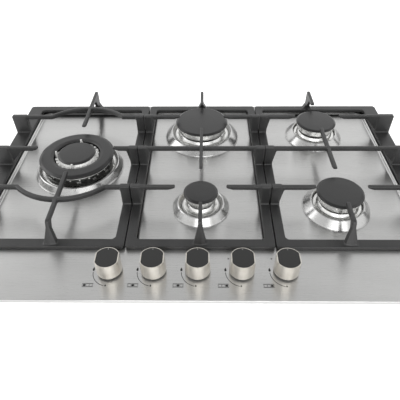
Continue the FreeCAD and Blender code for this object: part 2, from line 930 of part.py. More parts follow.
def add_front_finger(body, column, tip):
    """Finger from a leaning post on the front rail back to a burner."""
    front = support_front
    inner = front + at.end_rail
    points = [
        (front + 4, rail_top), (inner, rail_top), (inner, rail_top + 6),
        (inner + 12, finger_under), (tip - 12, finger_under),
        (tip - 1.5, at.support_top - at.tip_depth), (tip, at.support_top - 2),
        (tip - 1.5, at.support_top), (front + 20, at.support_top),
        (front + 17, at.support_top - 2), (front + 4, rail_top + 2),
    ]
    pad(body, outline(body, "YZ_Plane", points, column), at.finger_width, both_ways=True)


def add_back_gusset(body, column):
    """Thicker foot of a back post, spread along the back rail."""
    points = [
        (column - at.post_flare, rail_top), (column + at.post_flare, rail_top),
        (column + at.finger_width / 2, rail_top + at.gusset_rise),
        (column - at.finger_width / 2, rail_top + at.gusset_rise),
    ]
    middle = support_back - at.end_rail / 2
    pad(body, outline(body, "XZ_Plane", points, -middle), at.end_rail * 0.7, both_ways=True)


def front_gusset(column):
    """Flared foot of a front post, which leans back with it up to the finger."""
    wedge = doc.addObject("Part::Wedge", "FrontGusset")
    wedge.Placement = FreeCAD.Placement(Vector(), FreeCAD.Rotation(Vector(1, 0, 0), 90))
    face = support_front + 4
    foot_depth = at.end_rail - 6
    head_depth = foot_depth - 2
    bind(wedge, "Ymin", rail_top)
    bind(wedge, "Ymax", finger_under - 2)
    bind(wedge, "Xmin", column - at.post_flare)
    bind(wedge, "Xmax", column + at.post_flare)
    bind(wedge, "Zmin", -(face + foot_depth))
    bind(wedge, "Zmax", -face)
    bind(wedge, "X2min", column - at.finger_width / 2)
    bind(wedge, "X2max", column + at.finger_width / 2)
    bind(wedge, "Z2min", -(face + at.post_lean + head_depth))
    bind(wedge, "Z2max", -(face + at.post_lean))
    return wedge


def add_arc_bar(body, support, row, way):
    """Bar between two ears that bows away from the wok burner."""
    half = at.finger_width / 2
    left = support.column - at.arc_half
    right = support.column + at.arc_half
    bulge = at.arc_bulge
    radius = (at.arc_half * at.arc_half + bulge * bulge) / (bulge * 2)
    near = row - way * half
    far = row + way * half
    turn = -way
    points = [
        (support.left + 4, near), (left + half, near, (radius - half) * turn),
        (right - half, near), (support.right - 4, near), (support.right - 4, far),
        (right, far, (radius + half) * -turn), (left, far), (support.left + 4, far),
    ]
    if way < 0:
        points = [points[0], points[7], (left, far, (radius + half)),
                  (right, far), points[4], points[3],
                  (right - half, near, -(radius - half)), (left + half, near)]
    pad(body, outline(body, "XY_Plane", points, finger_under), at.finger_depth)


def make_support(support):
    """Frame of rails, and the ears, bars, fingers and posts that stand on it."""
    body = new_body("SupportBars")
    for row in (back_row, middle_row, front_row):
        add_ear(body, row, support.left, support.inner_left)
        add_ear(body, row, support.inner_right, support.right)
    if support.name == "left":
        add_arc_bar(body, support, back_row, 1)
        add_arc_bar(body, support, front_row, -1)
        add_side_fingers(body, support, middle_row, at.wok_tip)
        add_back_finger(body, support.column, middle_row + at.wok_tip)
        add_front_finger(body, support.column, middle_row - at.wok_tip)
    else:
        add_cross_bar(body, support, middle_row)
        add_side_fingers(body, support, back_row, at.rear_tip)
        add_side_fingers(body, support, front_row, at.small_tip)
        add_back_finger(body, support.column, back_row + at.rear_tip)
        add_middle_finger(body, support.column, front_row + at.long_tip,
                          back_row - at.rear_tip)
        add_front_finger(body, support.column, front_row - at.short_tip)
    add_back_gusset(body, support.column)
    bars = fuse([body, front_gusset(support.column)], "Bars")
    node(group([frame_body(support), bars], "PanSupport"), f"pan_support_{support.name}")


def make_support_feet(support):
    """Rubber feet: short ones on the rim, tall ones on the floor of the well."""
    rows = (front_row - 30, back_row + 40)
    feet = []
    for x, rail in ((support.left, support.left_rail), (support.right, support.right_rail)):
        way = 1 if x is support.left else -1
        spot = x + rail * 0.5 * way
        bottom = rim_top if rail is at.outer_rail else floor_top
        for y in rows:
            feet.append(rod((spot, y, bottom), at.foot_radius, at.rail_bottom - bottom))
    node(group(feet, "Feet"), f"support_feet_{support.name}")


def make_supports():
    half = at.centre_width / 2
    for support in (side_support("left", -1),
                    Support("centre", -half, half, at.inner_rail, at.inner_rail, as_length(0)),
                    side_support("right", 1)):
        make_support(support)
        make_support_feet(support)


# ---- knobs, valves and gas pipes ----

knob_bottom = rim_top + at.knob_lift


def knob_side(side, top_x, foot_x, top, foot, reach):
    """Tapered cutter that leaves a flat down one side of the knob."""
    body = new_body("SideFlat")
    points = [(side * top_x, top), (side * foot_x, foot), (side * (foot_x + 8), foot),
              (side * (foot_x + 8), top)]
    pad(body, outline(body, "XZ_Plane", points), reach, both_ways=True)
    return body


def make_knob(number):
    """Turned metal shell with two side flats and a flat black insert in its top."""
    radius = at.knob_radius
    cavity = radius - at.knob_wall
    roof = at.knob_top - at.insert_thickness
    ceiling = roof - 2.2
    boss = at.spindle + 3
    bore = at.spindle + at.running
    shell = turned([
        (cavity, knob_bottom), (radius - 0.4, knob_bottom), (radius, knob_bottom + 0.6),
        (radius - 0.3, at.knob_top - 0.8, 0.8), (radius - 1.1, at.knob_top),
        (radius - at.knob_rim - 0.6, at.knob_top), (radius - at.knob_rim - 0.6, roof),
        (0, roof), (0, at.spindle_top + at.knob_lift + 0.4),
        (bore, at.spindle_top + at.knob_lift + 0.4), (bore, knob_bottom + 3),
        (boss, knob_bottom + 3), (boss, ceiling), (cavity, ceiling),
    ], "KnobShell")
    flats = [knob_side(side, at.knob_flat_top, at.knob_flat_foot, at.knob_top + 1,
                       knob_bottom + 1, radius * 2.2) for side in (1, -1)]
    key = box((-bore, at.spindle_flat + at.running, knob_bottom + 3),
              (bore * 2, bore - at.spindle_flat, at.spindle_top + at.knob_lift + 0.4
               - knob_bottom - 3))
    metal = fuse([cut(shell, flats), key], "KnobMetal")
    place(metal, knob_x(number), knob_row)
    node(metal, f"knob_shell_{number}")

    inset = at.knob_rim + 0.6 + at.running
    disc = rod((0, 0, roof), radius - inset, at.insert_thickness + 0.2)
    sides = [box((side * (at.knob_flat_top - inset) + (0 if side > 0 else -10),
                  -radius, roof - 1), (10, radius * 2, at.insert_thickness + 3))
             for side in (1, -1)]
    insert = cut(disc, sides, "KnobInsert")
    place(insert, knob_x(number), knob_row)
    node(insert, f"knob_top_{number}")


def make_spindle(number):
    """Valve spindle with a flat on its upper end for the knob."""
    bottom = at.valve_top - at.valve_height + 5
    shaft = rod((0, 0, bottom), at.spindle, at.spindle_top - bottom)
    flat = box((-at.spindle, at.spindle_flat, knob_bottom - 0.6),
               (at.spindle * 2, at.spindle, at.spindle_top))
    spindle = cut(shaft, [flat], "Spindle")
    place(spindle, knob_x(number), knob_row)
    node(spindle, f"valve_spindle_{number}")


def make_valves():
    """Brass valve blocks clamped on the gas rail, with an outlet boss to the back."""
    valves = []
    bottom = at.valve_top - at.valve_height
    front = knob_row - at.valve_length / 2
    for number in KNOBS:
        x = knob_x(number)
        block = box((x - at.valve_width / 2, front, bottom),
                    (at.valve_width, at.valve_length, at.valve_height))
        neck = rod((x, knob_row, at.valve_top), 8, 4)
        saddle = box((x - 9, rail_pipe_front, at.rail_pipe_level - 6),
                     (18, front - rail_pipe_front, 12))
        outlet = rod((x, front + at.valve_length, at.feed_level), 6.5, 8, "Y")
        bore = rod((x, knob_row, bottom + 4.5), at.spindle + at.running,
                   at.valve_height + 10)
        pipe = rod((x - 20, rail_pipe_front, at.rail_pipe_level), at.rail_pipe, 40, "X")
        gas_way = rod((x, front + at.valve_length - 2, at.feed_level), at.feed_pipe_bore,
                      14, "Y")
        valves.append(cut(fuse([block, neck, saddle, outlet]), [bore, pipe, gas_way]))
    node(group(valves, "Valves"), "gas_valves")


def make_knob_seals():
    seals = [cut(rod((knob_x(number), knob_row, rim_top), at.collar_radius,
                     at.collar_height),
                 [rod((knob_x(number), knob_row, rim_top - 1), at.spindle + at.fit,
                      at.collar_height + 2)]) for number in KNOBS]
    node(group(seals, "KnobSeals"), "knob_seals")


def pipe_shape(points, radius, bend):
    """Round pipe through the points, with straight runs joined by tangent arcs."""
    edges = []
    last = points[0]
    for before, corner, after in zip(points, points[1:], points[2:]):
        come = (before - corner).normalize()
        leave = (after - corner).normalize()
        half = come.getAngle(leave) / 2
        back_off = bend / math.tan(half)
        entry = corner + come * back_off
        leaving = corner + leave * back_off
        inward = (come + leave).normalize()
        middle = corner + inward * (bend / math.sin(half) - bend)
        edges.append(Part.LineSegment(last, entry).toShape())
        edges.append(Part.Arc(entry, middle, leaving).toShape())
        last = leaving
    edges.append(Part.LineSegment(last, points[-1]).toShape())
    spine = Part.Wire(edges)
    heading = points[1] - points[0]
    ring = Part.Wire([Part.makeCircle(radius, points[0], heading)])
    return spine.makePipeShell([ring], True, False)


def pipe_feature(name, routes, radius, bore, bend):
    """Pipes along routes; the routes and radii are values read from the sheet."""
    shapes = []
    for route in routes:
        points = [Vector(*[as_length(size).value for size in point]) for point in route]
        outer = pipe_shape(points, radius.value, bend.value)
        if bore is not None:
            outer = outer.cut(pipe_shape(points, bore.value, bend.value))
        shapes.append(outer)
    feature = doc.addObject("Part::Feature", name)
    feature.Shape = shapes[0] if len(shapes) == 1 else Part.makeCompound(shapes)
    return feature


inlet_y = rail_pipe_end + at.elbow_reach
gland_level = at.rail_pipe_level


def make_gas_rail():
    """Gas rail under the knobs with its return run, held up by welded feet."""
    left = knob_x(1) - 26
    route = [(left, rail_pipe_front, at.rail_pipe_level),
             (rail_pipe_side, rail_pipe_front, at.rail_pipe_level),
             (rail_pipe_side, rail_pipe_end, at.rail_pipe_level)]
    pipe = pipe_feature("RailPipe", [route], at.rail_pipe, at.rail_pipe_bore,
                        at.rail_pipe_bend)
    foot_height = at.rail_pipe_level - at.rail_pipe_bore - 0.7 - box_floor
    feet = [box((x, rail_pipe_front - 6, box_floor), (3, 12, foot_height))
            for x in (left + 6, knob_x(3) + 30, knob_x(5) + 60)]
    feet.append(box((rail_pipe_side - 6, as_length(40), box_floor), (12, 3, foot_height)))
    cap = rod((left - 2, rail_pipe_front, at.rail_pipe_level), at.rail_pipe, 2, "X")
    node(fuse([pipe, cap, *feet], "GasRail"), "gas_rail")


def make_inlet_elbow():
    """Brass elbow: a block on the end of the gas rail and a threaded stub pointing down."""
    x = rail_pipe_side
    level = at.rail_pipe_level
    half = at.elbow_half
    nut_bottom = level - half - at.elbow_nut
    stub_bottom = nut_bottom - at.inlet_length
    block = box((x - half, rail_pipe_end, level - half),
                (half * 2, at.elbow_reach + half, half * 2))
    nut = rod((x, inlet_y, nut_bottom), at.inlet_radius + 1, at.elbow_nut)
    stub = rod((x, inlet_y, stub_bottom), at.inlet_radius, at.inlet_length)
    way = rod((x, inlet_y, stub_bottom - 1), at.rail_pipe_bore, level - stub_bottom + 1)
    across = rod((x, rail_pipe_end - 1, level), at.rail_pipe_bore, at.elbow_reach + 1, "Y")
    node(cut(fuse([block, nut, stub]), [way, across], "InletElbow"), "gas_inlet_elbow")


def make_feed_pipes():
    """Aluminium pipes from each valve outlet to its burner cup."""
    start = knob_row + at.valve_length / 2 + 8
    level = at.feed_level

    def meet(burner, corner):
        """Spot on the cup's wall where a pipe from the corner arrives square to it."""
        across = (as_length(corner[0]) - burner.x).value
        along = (as_length(corner[1]) - burner.y).value
        reach = (burner.neck + at.running).value / math.hypot(across, along)
        return burner.x + across * reach, burner.y + along * reach, level

    routes = []
    for number, burner, runs in ((1, WOK, [129]), (2, RAPID, [83]), (3, AUX, [85, 70]),
                                 (4, REAR, [123]), (5, FRONT, [75])):
        corners = [(knob_x(number), burner.y - runs[0])]
        corners += [(burner.x, burner.y - run) for run in runs[1:]]
        routes.append([(knob_x(number), start, level), *[(*spot, level) for spot in corners],
                       meet(burner, corners[-1])])
    node(pipe_feature("FeedPipes", routes, at.feed_pipe, at.feed_pipe_bore, at.feed_bend),
         "feed_pipes")


# ---- electrics and fixings ----

def make_electrics():
    """Spark module with its terminals, its leads and the inlet grommet."""
    x = at.module_column
    block = box((x, module_front, box_floor),
                (at.module_length, at.module_depth, at.module_height))
    terminals = [rod((x + at.terminal_edge + at.terminal_pitch * index,
                      module_front - at.terminal_length, box_floor + at.terminal_rise),
                     at.terminal_radius, at.terminal_length, "Y") for index in range(5)]
    clip = box((x - 10, module_front + 6, box_floor), (10, 22, at.module_height / 3))
    node(fuse([block, clip, *terminals], "IgnitionModule"), "ignition_module")
    column = at.gland_column
    lip = at.gland_radius + 2
    grommet = [rod((column, box_back - at.sheet - at.gland_lip, gland_level), lip,
                   at.gland_lip, "Y"),
               rod((column, box_back - at.sheet, gland_level), at.gland_radius - 0.1,
                   at.sheet, "Y"),
               rod((column, box_back, gland_level), lip, at.gland_lip, "Y")]
    hole = rod((column, box_back - at.gland_lip * 2, gland_level), at.gland_radius / 2,
               at.gland_lip * 4, "Y")
    node(cut(fuse(grommet), [hole], "Grommet"), "cable_grommet")


def make_spark_leads():
    """Insulated leads along the floor of the box, from the module to each electrode."""
    level = box_floor + at.lead
    start_level = box_floor + at.terminal_rise
    tip = module_front - at.terminal_length
    down = tip - at.lead_bend * 2
    lanes = [(WOK, [(121, -23)]), (AUX, [(5, -40)]), (FRONT, [(93, -35)]),
             (REAR, [(-58, -45)]), (RAPID, [])]
    routes = []
    for index, (burner, lane) in enumerate(lanes):
        start = at.module_column + at.terminal_edge + at.terminal_pitch * index
        end = polar(burner, burner.probe, SPARK_ANGLE)
        route = [(start, tip, start_level), (start, down, start_level), (start, down, level)]
        for along, across in lane:
            route += [(start, burner.y + along, level),
                      (burner.x + across, burner.y + along, level)]
        routes.append([*route, (*end, level), (*end, electrode_foot)])
    node(pipe_feature("SparkLeads", routes, at.lead, None, at.lead_bend), "spark_leads")


def make_clamps():
    """Steel brackets on the box sides that grip the worktop from below, with screws."""
    brackets = []
    screws = []
    wall = at.clamp_sheet
    reach = at.clamp_foot
    length = at.clamp_length
    bottom = box_bottom + at.clamp_lift
    for side in (-1, 1):
        for y in (-at.clamp_row, at.clamp_row):
            leg_x = box_half if side > 0 else -box_half - wall
            foot_x = box_half + wall if side > 0 else -box_half - wall - reach
            brackets.append(fuse([box((leg_x, y, bottom), (wall, length, at.clamp_height)),
                                  box((foot_x, y, bottom), (reach, length, wall))]))
            head_x = box_half + wall
            if side < 0:
                head_x = -head_x - at.screw_head_height
            screws.append(rod((head_x, y + length / 2, bottom + at.clamp_height * 2 / 3),
                              at.screw_head, at.screw_head_height, "X"))
    node(group(brackets, "Clamps"), "worktop_clamps")
    node(group(screws, "ClampScrews"), "clamp_screws")


make_top_plate()
make_worktop_seal()
make_lower_box()
make_burners()
make_supports()
for knob in KNOBS:
    make_knob(knob)
    make_spindle(knob)
make_valves()
make_knob_seals()
make_gas_rail()
make_inlet_elbow()
make_feed_pipes()
make_electrics()
make_spark_leads()
make_clamps()
doc.recompute()


def check_and_write():
    """Refuse a model with a failed step, then write each piece to its file."""
    for thing in doc.Objects:
        if "Invalid" in thing.State or "Error" in thing.State:
            raise RuntimeError(f"{thing.Name} ({thing.Label}) failed: {thing.State}")
    os.makedirs("parts", exist_ok=True)
    for piece in nodes:
        shape = piece.Shape
        if shape.isNull() or not shape.isValid() or not shape.Solids:
            raise RuntimeError(f"{piece.Label} has no valid solid")
        shape.exportStep(f"parts/{piece.Label}.step")
        print(f"{piece.Label}: {len(shape.Solids)} solid(s), {shape.Volume / 1000:.2f} cm3")
    print(f"{len(nodes)} pieces")


check_and_write()
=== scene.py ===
import math

import bmesh
import bpy
from mathutils import Matrix, Vector


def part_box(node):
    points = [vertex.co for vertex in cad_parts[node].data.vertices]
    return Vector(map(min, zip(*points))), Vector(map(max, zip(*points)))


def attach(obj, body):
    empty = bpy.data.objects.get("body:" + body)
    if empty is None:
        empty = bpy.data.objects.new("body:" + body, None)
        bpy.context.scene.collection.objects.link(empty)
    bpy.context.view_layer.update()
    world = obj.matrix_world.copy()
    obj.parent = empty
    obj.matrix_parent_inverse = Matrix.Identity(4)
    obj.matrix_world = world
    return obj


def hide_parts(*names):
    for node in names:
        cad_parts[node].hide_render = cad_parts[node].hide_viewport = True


bl_info = {
    "name": "Gas Cooktop Maker",
    "version": (1, 0, 0),
    "blender": (4, 5, 0),
    "location": "View3D > Sidebar > Cooktop",
    "description": "Dresses a five-burner gas cooktop over its solid model",
    "category": "Add Mesh",
}

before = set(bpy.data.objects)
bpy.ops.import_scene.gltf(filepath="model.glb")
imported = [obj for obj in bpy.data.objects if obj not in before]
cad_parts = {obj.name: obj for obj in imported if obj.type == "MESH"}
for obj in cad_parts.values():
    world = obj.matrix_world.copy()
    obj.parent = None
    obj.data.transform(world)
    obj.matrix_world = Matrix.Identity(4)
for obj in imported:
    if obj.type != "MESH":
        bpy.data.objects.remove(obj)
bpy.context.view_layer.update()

MM = 0.001
BURNERS = ("wok", "rapid", "auxiliary", "rear_right", "front_right")
SIMPLE_BURNERS = BURNERS[1:]
KNOBS = range(1, 6)
RISE_SHARE = 0.37       # how much height counts beside reach in the turned pieces' UV map


# ---- sizes read from the solid model, in millimetres ----

class Extent:
    """Lowest and highest corner of a solid node in millimetres, with its middle and reach."""

    def __init__(self, node_name):
        low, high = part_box(node_name)
        self.low = low / MM
        self.high = high / MM
        self.centre = (self.low + self.high) / 2
        self.radius = max(self.high.x - self.low.x, self.high.y - self.low.y) / 2


PLATE = Extent("top_plate")
RIM = PLATE.high.z
WELL_SIDE = 31      # steel left beside the well, on its front and on its back
WELL_FRONT = 96
WELL_BACK = 24
WELL_CORNER = 18.5
OUTER_CORNER = 5


# ---- sizes and colours that a user would change ----

class CooktopSizes(bpy.types.PropertyGroup):
    """Small sizes that the dressing adds; the main ones come from the solid model."""

    sheet: bpy.props.FloatProperty(
        name="Sheet", description="Thickness of the pressed steel top", default=0.001,
        min=0.0005, max=0.003, subtype="DISTANCE", unit="LENGTH")
    well_drop: bpy.props.FloatProperty(
        name="Well depth", description="How far the burner area is pressed down",
        default=0.0045, min=0.001, max=0.01, subtype="DISTANCE", unit="LENGTH")
    fold_radius: bpy.props.FloatProperty(
        name="Fold radius", description="Radius of the folds in the steel top",
        default=0.0022, min=0.0005, max=0.005, subtype="DISTANCE", unit="LENGTH")
    casting_grid: bpy.props.FloatProperty(
        name="Casting grid", description="Grid on which the cast pan supports are rounded",
        default=0.0011, min=0.0008, max=0.003, subtype="DISTANCE", unit="LENGTH")
    casting_rounds: bpy.props.IntProperty(
        name="Casting rounds", description="How often the cast surface is smoothed",
        default=4, min=0, max=20)
    round_steps: bpy.props.IntProperty(
        name="Turned steps", description="Faces round a turned piece", default=144,
        min=24, max=256)


class CooktopColours(bpy.types.PropertyGroup):
    """Main colours of the cooktop, as sRGB hex values."""

    steel: bpy.props.StringProperty(
        name="Steel", description="Brushed stainless steel of the top", default="C6C6C5")
    enamel: bpy.props.StringProperty(
        name="Enamel", description="Black enamel of the burner caps", default="1D1D1D")
    knob: bpy.props.StringProperty(
        name="Knob", description="Satin nickel finish of the knob shells", default="DDD9D1")
    insert: bpy.props.StringProperty(
        name="Knob insert", description="Plastic disc in the knob's top", default="161616")
    floor: bpy.props.StringProperty(
        name="Worktop", description="Pale worktop and backdrop", default="F4F4F4")


def sizes():
    return bpy.context.scene.cooktop_sizes


def colours():
    return bpy.context.scene.cooktop_colours


# ---- outlines and meshes ----

def rounded(corners, steps=4, closed=True):
    """Points of an outline whose corners are (x, y, radius); zero leaves a corner sharp."""
    points = []
    count = len(corners)
    for index, (x, y, radius) in enumerate(corners):
        ends = not closed and index in (0, count - 1)
        if radius == 0 or ends:
            points.append((x, y))
            continue
        here = Vector((x, y))
        before = Vector(corners[index - 1][:2]) - here
        after = Vector(corners[(index + 1) % count][:2]) - here
        half = before.angle(after) / 2
        back_off = min(radius / math.tan(half), before.length * 0.49, after.length * 0.49)
        bend = back_off * math.tan(half)
        start = here + before.normalized() * back_off
        end = here + after.normalized() * back_off
        centre = here + (before.normalized() + after.normalized()).normalized() * (
            bend / math.sin(half))
        points.append(tuple(start + before.normalized() * bend * 0.15))
        sweep = (start - centre).angle_signed(end - centre)
        for step in range(steps + 1):
            spoke = (start - centre).copy()
            spoke.rotate(Matrix.Rotation(-sweep * step / steps, 2))
            points.append(tuple(centre + spoke))
        points.append(tuple(end + after.normalized() * bend * 0.15))
    return points


def new_object(name, mesh):
    piece = bpy.data.objects.new(name, mesh)
    bpy.context.scene.collection.objects.link(piece)
    return piece


def object_from(name, shape, smooth=True, outward=True):
    """A linked object from a bmesh in millimetres; the bmesh is used up."""
    bmesh.ops.scale(shape, vec=(MM, MM, MM), verts=shape.verts)
    if outward:
        bmesh.ops.recalc_face_normals(shape, faces=shape.faces)
    mesh = bpy.data.meshes.new(name)
    shape.to_mesh(mesh)
    shape.free()
    for face in mesh.polygons:
        face.use_smooth = smooth
    return new_object(name, mesh)


def lathe_into(shape, profile, centre, steps):
    """Adds a turned surface through (radius, height) points to a bmesh."""
    rings = []
    for radius, height in profile:
        if radius < 1e-6:
            rings.append([shape.verts.new((centre[0], centre[1], height))])
            continue
        ring = []
        for step in range(steps):
            turn = 2 * math.pi * step / steps
            ring.append(shape.verts.new((centre[0] + radius * math.cos(turn),
                                         centre[1] + radius * math.sin(turn), height)))
        rings.append(ring)
    closed = len(rings[0]) > 1 and len(rings[-1]) > 1
    pairs = list(zip(rings, rings[1:]))
    if closed:
        pairs.append((rings[-1], rings[0]))
    for low, high in pairs:
        for step in range(steps):
            following = (step + 1) % steps
            corners = [low[step % len(low)], low[following % len(low)],
                       high[following % len(high)], high[step % len(high)]]
            shape.faces.new(list(dict.fromkeys(corners)))


def lathe(name, corners, centre, steps=None, arc_steps=4):
    """A turned piece from (radius, height, corner radius) points round an upright line."""
    shape = bmesh.new()
    closed = corners[0][0] > 0
    profile = rounded(corners, arc_steps, closed)
    lathe_into(shape, profile, centre, steps or sizes().round_steps)
    piece = object_from(name, shape)
    lay_turning_map(piece, centre)
    return piece


def lay_turning_map(piece, centre):
    """UV map whose first direction runs round the turned piece, and whose second one
    never stands still, on level faces or on upright ones."""
    turning = piece.data.uv_layers.new(name="turning")
    for face in piece.data.polygons:
        start = None
        for index in face.loop_indices:
            spot = piece.data.vertices[piece.data.loops[index].vertex_index].co
            arm = spot.xy - Vector(centre[:2]) * MM
            turn = math.atan2(arm.y, arm.x)
            start = turn if start is None else start
            turn += 2 * math.pi * round((start - turn) / (2 * math.pi))
            turning.data[index].uv = (turn, (arm.length - RISE_SHARE * spot.z) / MM)


def block_into(shape, low, high):
    """Adds a box between two corners to a bmesh."""
    centre = (Vector(low) + Vector(high)) / 2
    extent = Vector(high) - Vector(low)
    made = bmesh.ops.create_cube(shape, size=1)
    bmesh.ops.scale(shape, vec=extent, verts=made["verts"])
    bmesh.ops.translate(shape, vec=centre, verts=made["verts"])
    return made["verts"]


def settle(piece):
    """Applies a piece's modifiers by turning its evaluated shape into a plain mesh."""
    depsgraph = bpy.context.evaluated_depsgraph_get()
    mesh = bpy.data.meshes.new_from_object(piece.evaluated_get(depsgraph),
                                           depsgraph=depsgraph)
    piece.modifiers.clear()
    piece.data = mesh
    return piece


def soften(piece, width, segments=2, angle=35):
    """Rounds a piece's sharp edges by a small width in millimetres."""
    bevel = piece.modifiers.new("Edges", "BEVEL")
    bevel.width = width * MM
    bevel.segments = segments
    bevel.limit_method = "ANGLE"
    bevel.angle_limit = math.radians(angle)
    bevel.use_clamp_overlap = True
    bevel.harden_normals = True
    return settle(piece)


def flatten(piece):
    """Keeps level faces level and lets only the folds between them look round."""
    for face in piece.data.polygons:
        face.use_smooth = abs(face.normal.z) < 0.9999
    weighted = piece.modifiers.new("Normals", "WEIGHTED_NORMAL")
    weighted.weight = 100
    weighted.keep_sharp = True
    return settle(piece)


def carve(piece, cutters):
    """Cuts shapes out of a piece and removes the cutting shapes."""
    for cutter in cutters:
        opening = piece.modifiers.new("Opening", "BOOLEAN")
        opening.operation = "DIFFERENCE"
        opening.solver = "EXACT"
        opening.object = cutter
    settle(piece)
    for cutter in cutters:
        bpy.data.objects.remove(cutter)
    return piece


def dress(piece, material, body, *nodes, slot=None):
    """Gives a finished piece its material, its body and the solid nodes it stands for."""
    piece.data.materials.clear()
    piece.data.materials.append(material)
    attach(piece, body)
    if nodes:
        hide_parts(*nodes)
    return piece


# ---- materials ----

def linear(hex_code):
    """Linear colour of an sRGB hex value."""
    channels = [int(hex_code[place:place + 2], 16) / 255 for place in (0, 2, 4)]
    return tuple(c / 12.92 if c <= 0.04045 else ((c + 0.055) / 1.055) ** 2.4
                 for c in channels) + (1,)


def add_node(owner, kind, inputs=None, **settings):
    """Adds a node to a tree or its owner; inputs are values or (node, output) links."""
    tree = getattr(owner, "node_tree", owner)
    made = tree.nodes.new(kind)
    for name, value in settings.items():
        setattr(made, name, value)
    for name, value in (inputs or {}).items():
        if isinstance(value, tuple) and isinstance(value[0], bpy.types.Node):
            tree.links.new(value[0].outputs[value[1]], made.inputs[name])
        else:
            made.inputs[name].default_value = value
    return made


def new_material(name):
    """An empty node material with its shader and output; returns the material and shader."""
    material = bpy.data.materials.get(name)
    if material:
        bpy.data.materials.remove(material)
    material = bpy.data.materials.new(name)
    material.use_nodes = True
    material.node_tree.nodes.clear()
    shader = add_node(material, "ShaderNodeBsdfPrincipled")
    add_node(material, "ShaderNodeOutputMaterial", {"Surface": (shader, "BSDF")})
    return material, shader


def per_mm(size):
    """Texture scale whose pattern repeats about every size millimetres."""
    return 1 / (size * MM)


def grain(material, stretch, detail=3.0, rough=0.6):
    """Noise on object coordinates with one pattern size in millimetres per axis."""
    place = add_node(material, "ShaderNodeTexCoord")
    scaled = add_node(material, "ShaderNodeMapping", {
        "Vector": (place, "Object"), "Scale": tuple(per_mm(size) for size in stretch)})
    return add_node(material, "ShaderNodeTexNoise", {
        "Vector": (scaled, "Vector"), "Scale": 1.0, "Detail": detail, "Roughness": rough})


def spread(material, source, low, high):
    """Noise remapped to a range of values."""
    return add_node(material, "ShaderNodeMapRange", {
        "Value": (source, "Fac"), "From Min": 0.25, "From Max": 0.75,
        "To Min": low, "To Max": high})


def tint(material, source, dark, light):
    """Noise turned into a mix of two close colours."""
    ramp = add_node(material, "ShaderNodeValToRGB", {"Fac": (source, "Fac")})
    ramp.color_ramp.elements[0].position = 0.3
    ramp.color_ramp.elements[0].color = linear(dark)
    ramp.color_ramp.elements[1].position = 0.7
    ramp.color_ramp.elements[1].color = linear(light)
    return ramp


def connect(material, source, output, target, socket):
    material.node_tree.links.new(source.outputs[output], target.inputs[socket])


def surface(material, shader, colour, gloss=None, relief=None, **values):
    """Joins a colour node to a shader, with gloss as (noise, low, high) and relief as
    (noise, strength, millimetres), and sets the values of further inputs."""
    if colour:
        output = "Result" if colour.bl_idname == "ShaderNodeMix" else "Color"
        connect(material, colour, output, shader, "Base Color")
    if gloss:
        connect(material, spread(material, *gloss), "Result", shader, "Roughness")
    if relief:
        skin, strength, depth = relief
        bump = add_node(material, "ShaderNodeBump", {
            "Height": (skin, "Fac"), "Strength": strength, "Distance": depth * MM})
        connect(material, bump, "Normal", shader, "Normal")
    for name, value in values.items():
        shader.inputs[name.replace("_", " ")].default_value = value
    return material


def lay_along(material, shader, uv_map):
    """Stretches reflections across the first direction of a UV map."""
    tangent = add_node(material, "ShaderNodeTangent", direction_type="UV_MAP",
                       uv_map=uv_map)
    connect(material, tangent, "Tangent", shader, "Tangent")
    shader.inputs["Anisotropic Rotation"].default_value = 0.25


def shade_by_back_rail(material):
    """Mask of the painted shade and painted reflection under the back rail: one where the steel
    of the well lies close by the back rail, and zero elsewhere.
    """
    _left, right, _front, back = well_edges()
    stops = ((back - 18, 0.0), (back - 8, 0.88), (back, 0.88), (back + 1, 0.0))
    place = add_node(material, "ShaderNodeTexCoord")
    spot = add_node(material, "ShaderNodeSeparateXYZ", {"Vector": (place, "Object")})
    depth = add_node(material, "ShaderNodeMapRange", {
        "Value": (spot, "Y"), "From Min": PLATE.low.y * MM, "From Max": PLATE.high.y * MM})
    shade = add_node(material, "ShaderNodeValToRGB", {"Fac": (depth, "Result")})
    ramp = shade.color_ramp.elements
    while len(ramp) < len(stops):
        ramp.new(1.0)
    for stop, (y, value) in zip(ramp, stops):
        stop.position = (y - PLATE.low.y) / (PLATE.high.y - PLATE.low.y)
        stop.color = (value, value, value, 1)
    reach = add_node(material, "ShaderNodeMath", {0: (spot, "X")}, operation="ABSOLUTE")
    within = add_node(material, "ShaderNodeMath", {0: (reach, "Value"), 1: right * MM},
                      operation="LESS_THAN")
    return add_node(material, "ShaderNodeMath", {0: (shade, "Color"), 1: (within, "Value")},
                    operation="MULTIPLY")


def brushed_stainless():
    """Stainless steel sheet, brushed along its width: fine lines that stretch reflections
    from front to back into soft upright streaks. The lines are drawn at 0.5 mm, coarser
    than the real ones, so that they show."""
    material, shader = new_material("brushed_stainless")
    lines = grain(material, (55, 0.5, 0.5), 4, 0.7)
    clouds = grain(material, (160, 45, 45), 2, 0.5)
    steel = tint(material, clouds, "BFBFBE", colours().steel)
    # Painted shade and painted reflection: the steel is mixed to near black along the back of
    # the well, under the back rail.
    colour = add_node(material, "ShaderNodeMix", {
        "Factor": (shade_by_back_rail(material), "Value"), "A": (steel, "Color"),
        "B": linear("1C1C1C")}, data_type="RGBA")
    lay_along(material, shader, "brushing")
    return surface(material, shader, colour, (lines, 0.26, 0.31), (lines, 0.03, 0.02),
                   Metallic=1, Anisotropic=0.93)


def polished_stainless():
    """Spun stainless steel with a fine satin polish: reflections that fan out from the
    middle, across the turning marks."""
    material, shader = new_material("polished_stainless")
    fine = grain(material, (2.5, 2.5, 2.5), 2, 0.5)
    lay_along(material, shader, "turning")
    return surface(material, shader, None, (fine, 0.26, 0.31), Base_Color=linear("B2B2B1"),
                   Metallic=1, Anisotropic=0.6)


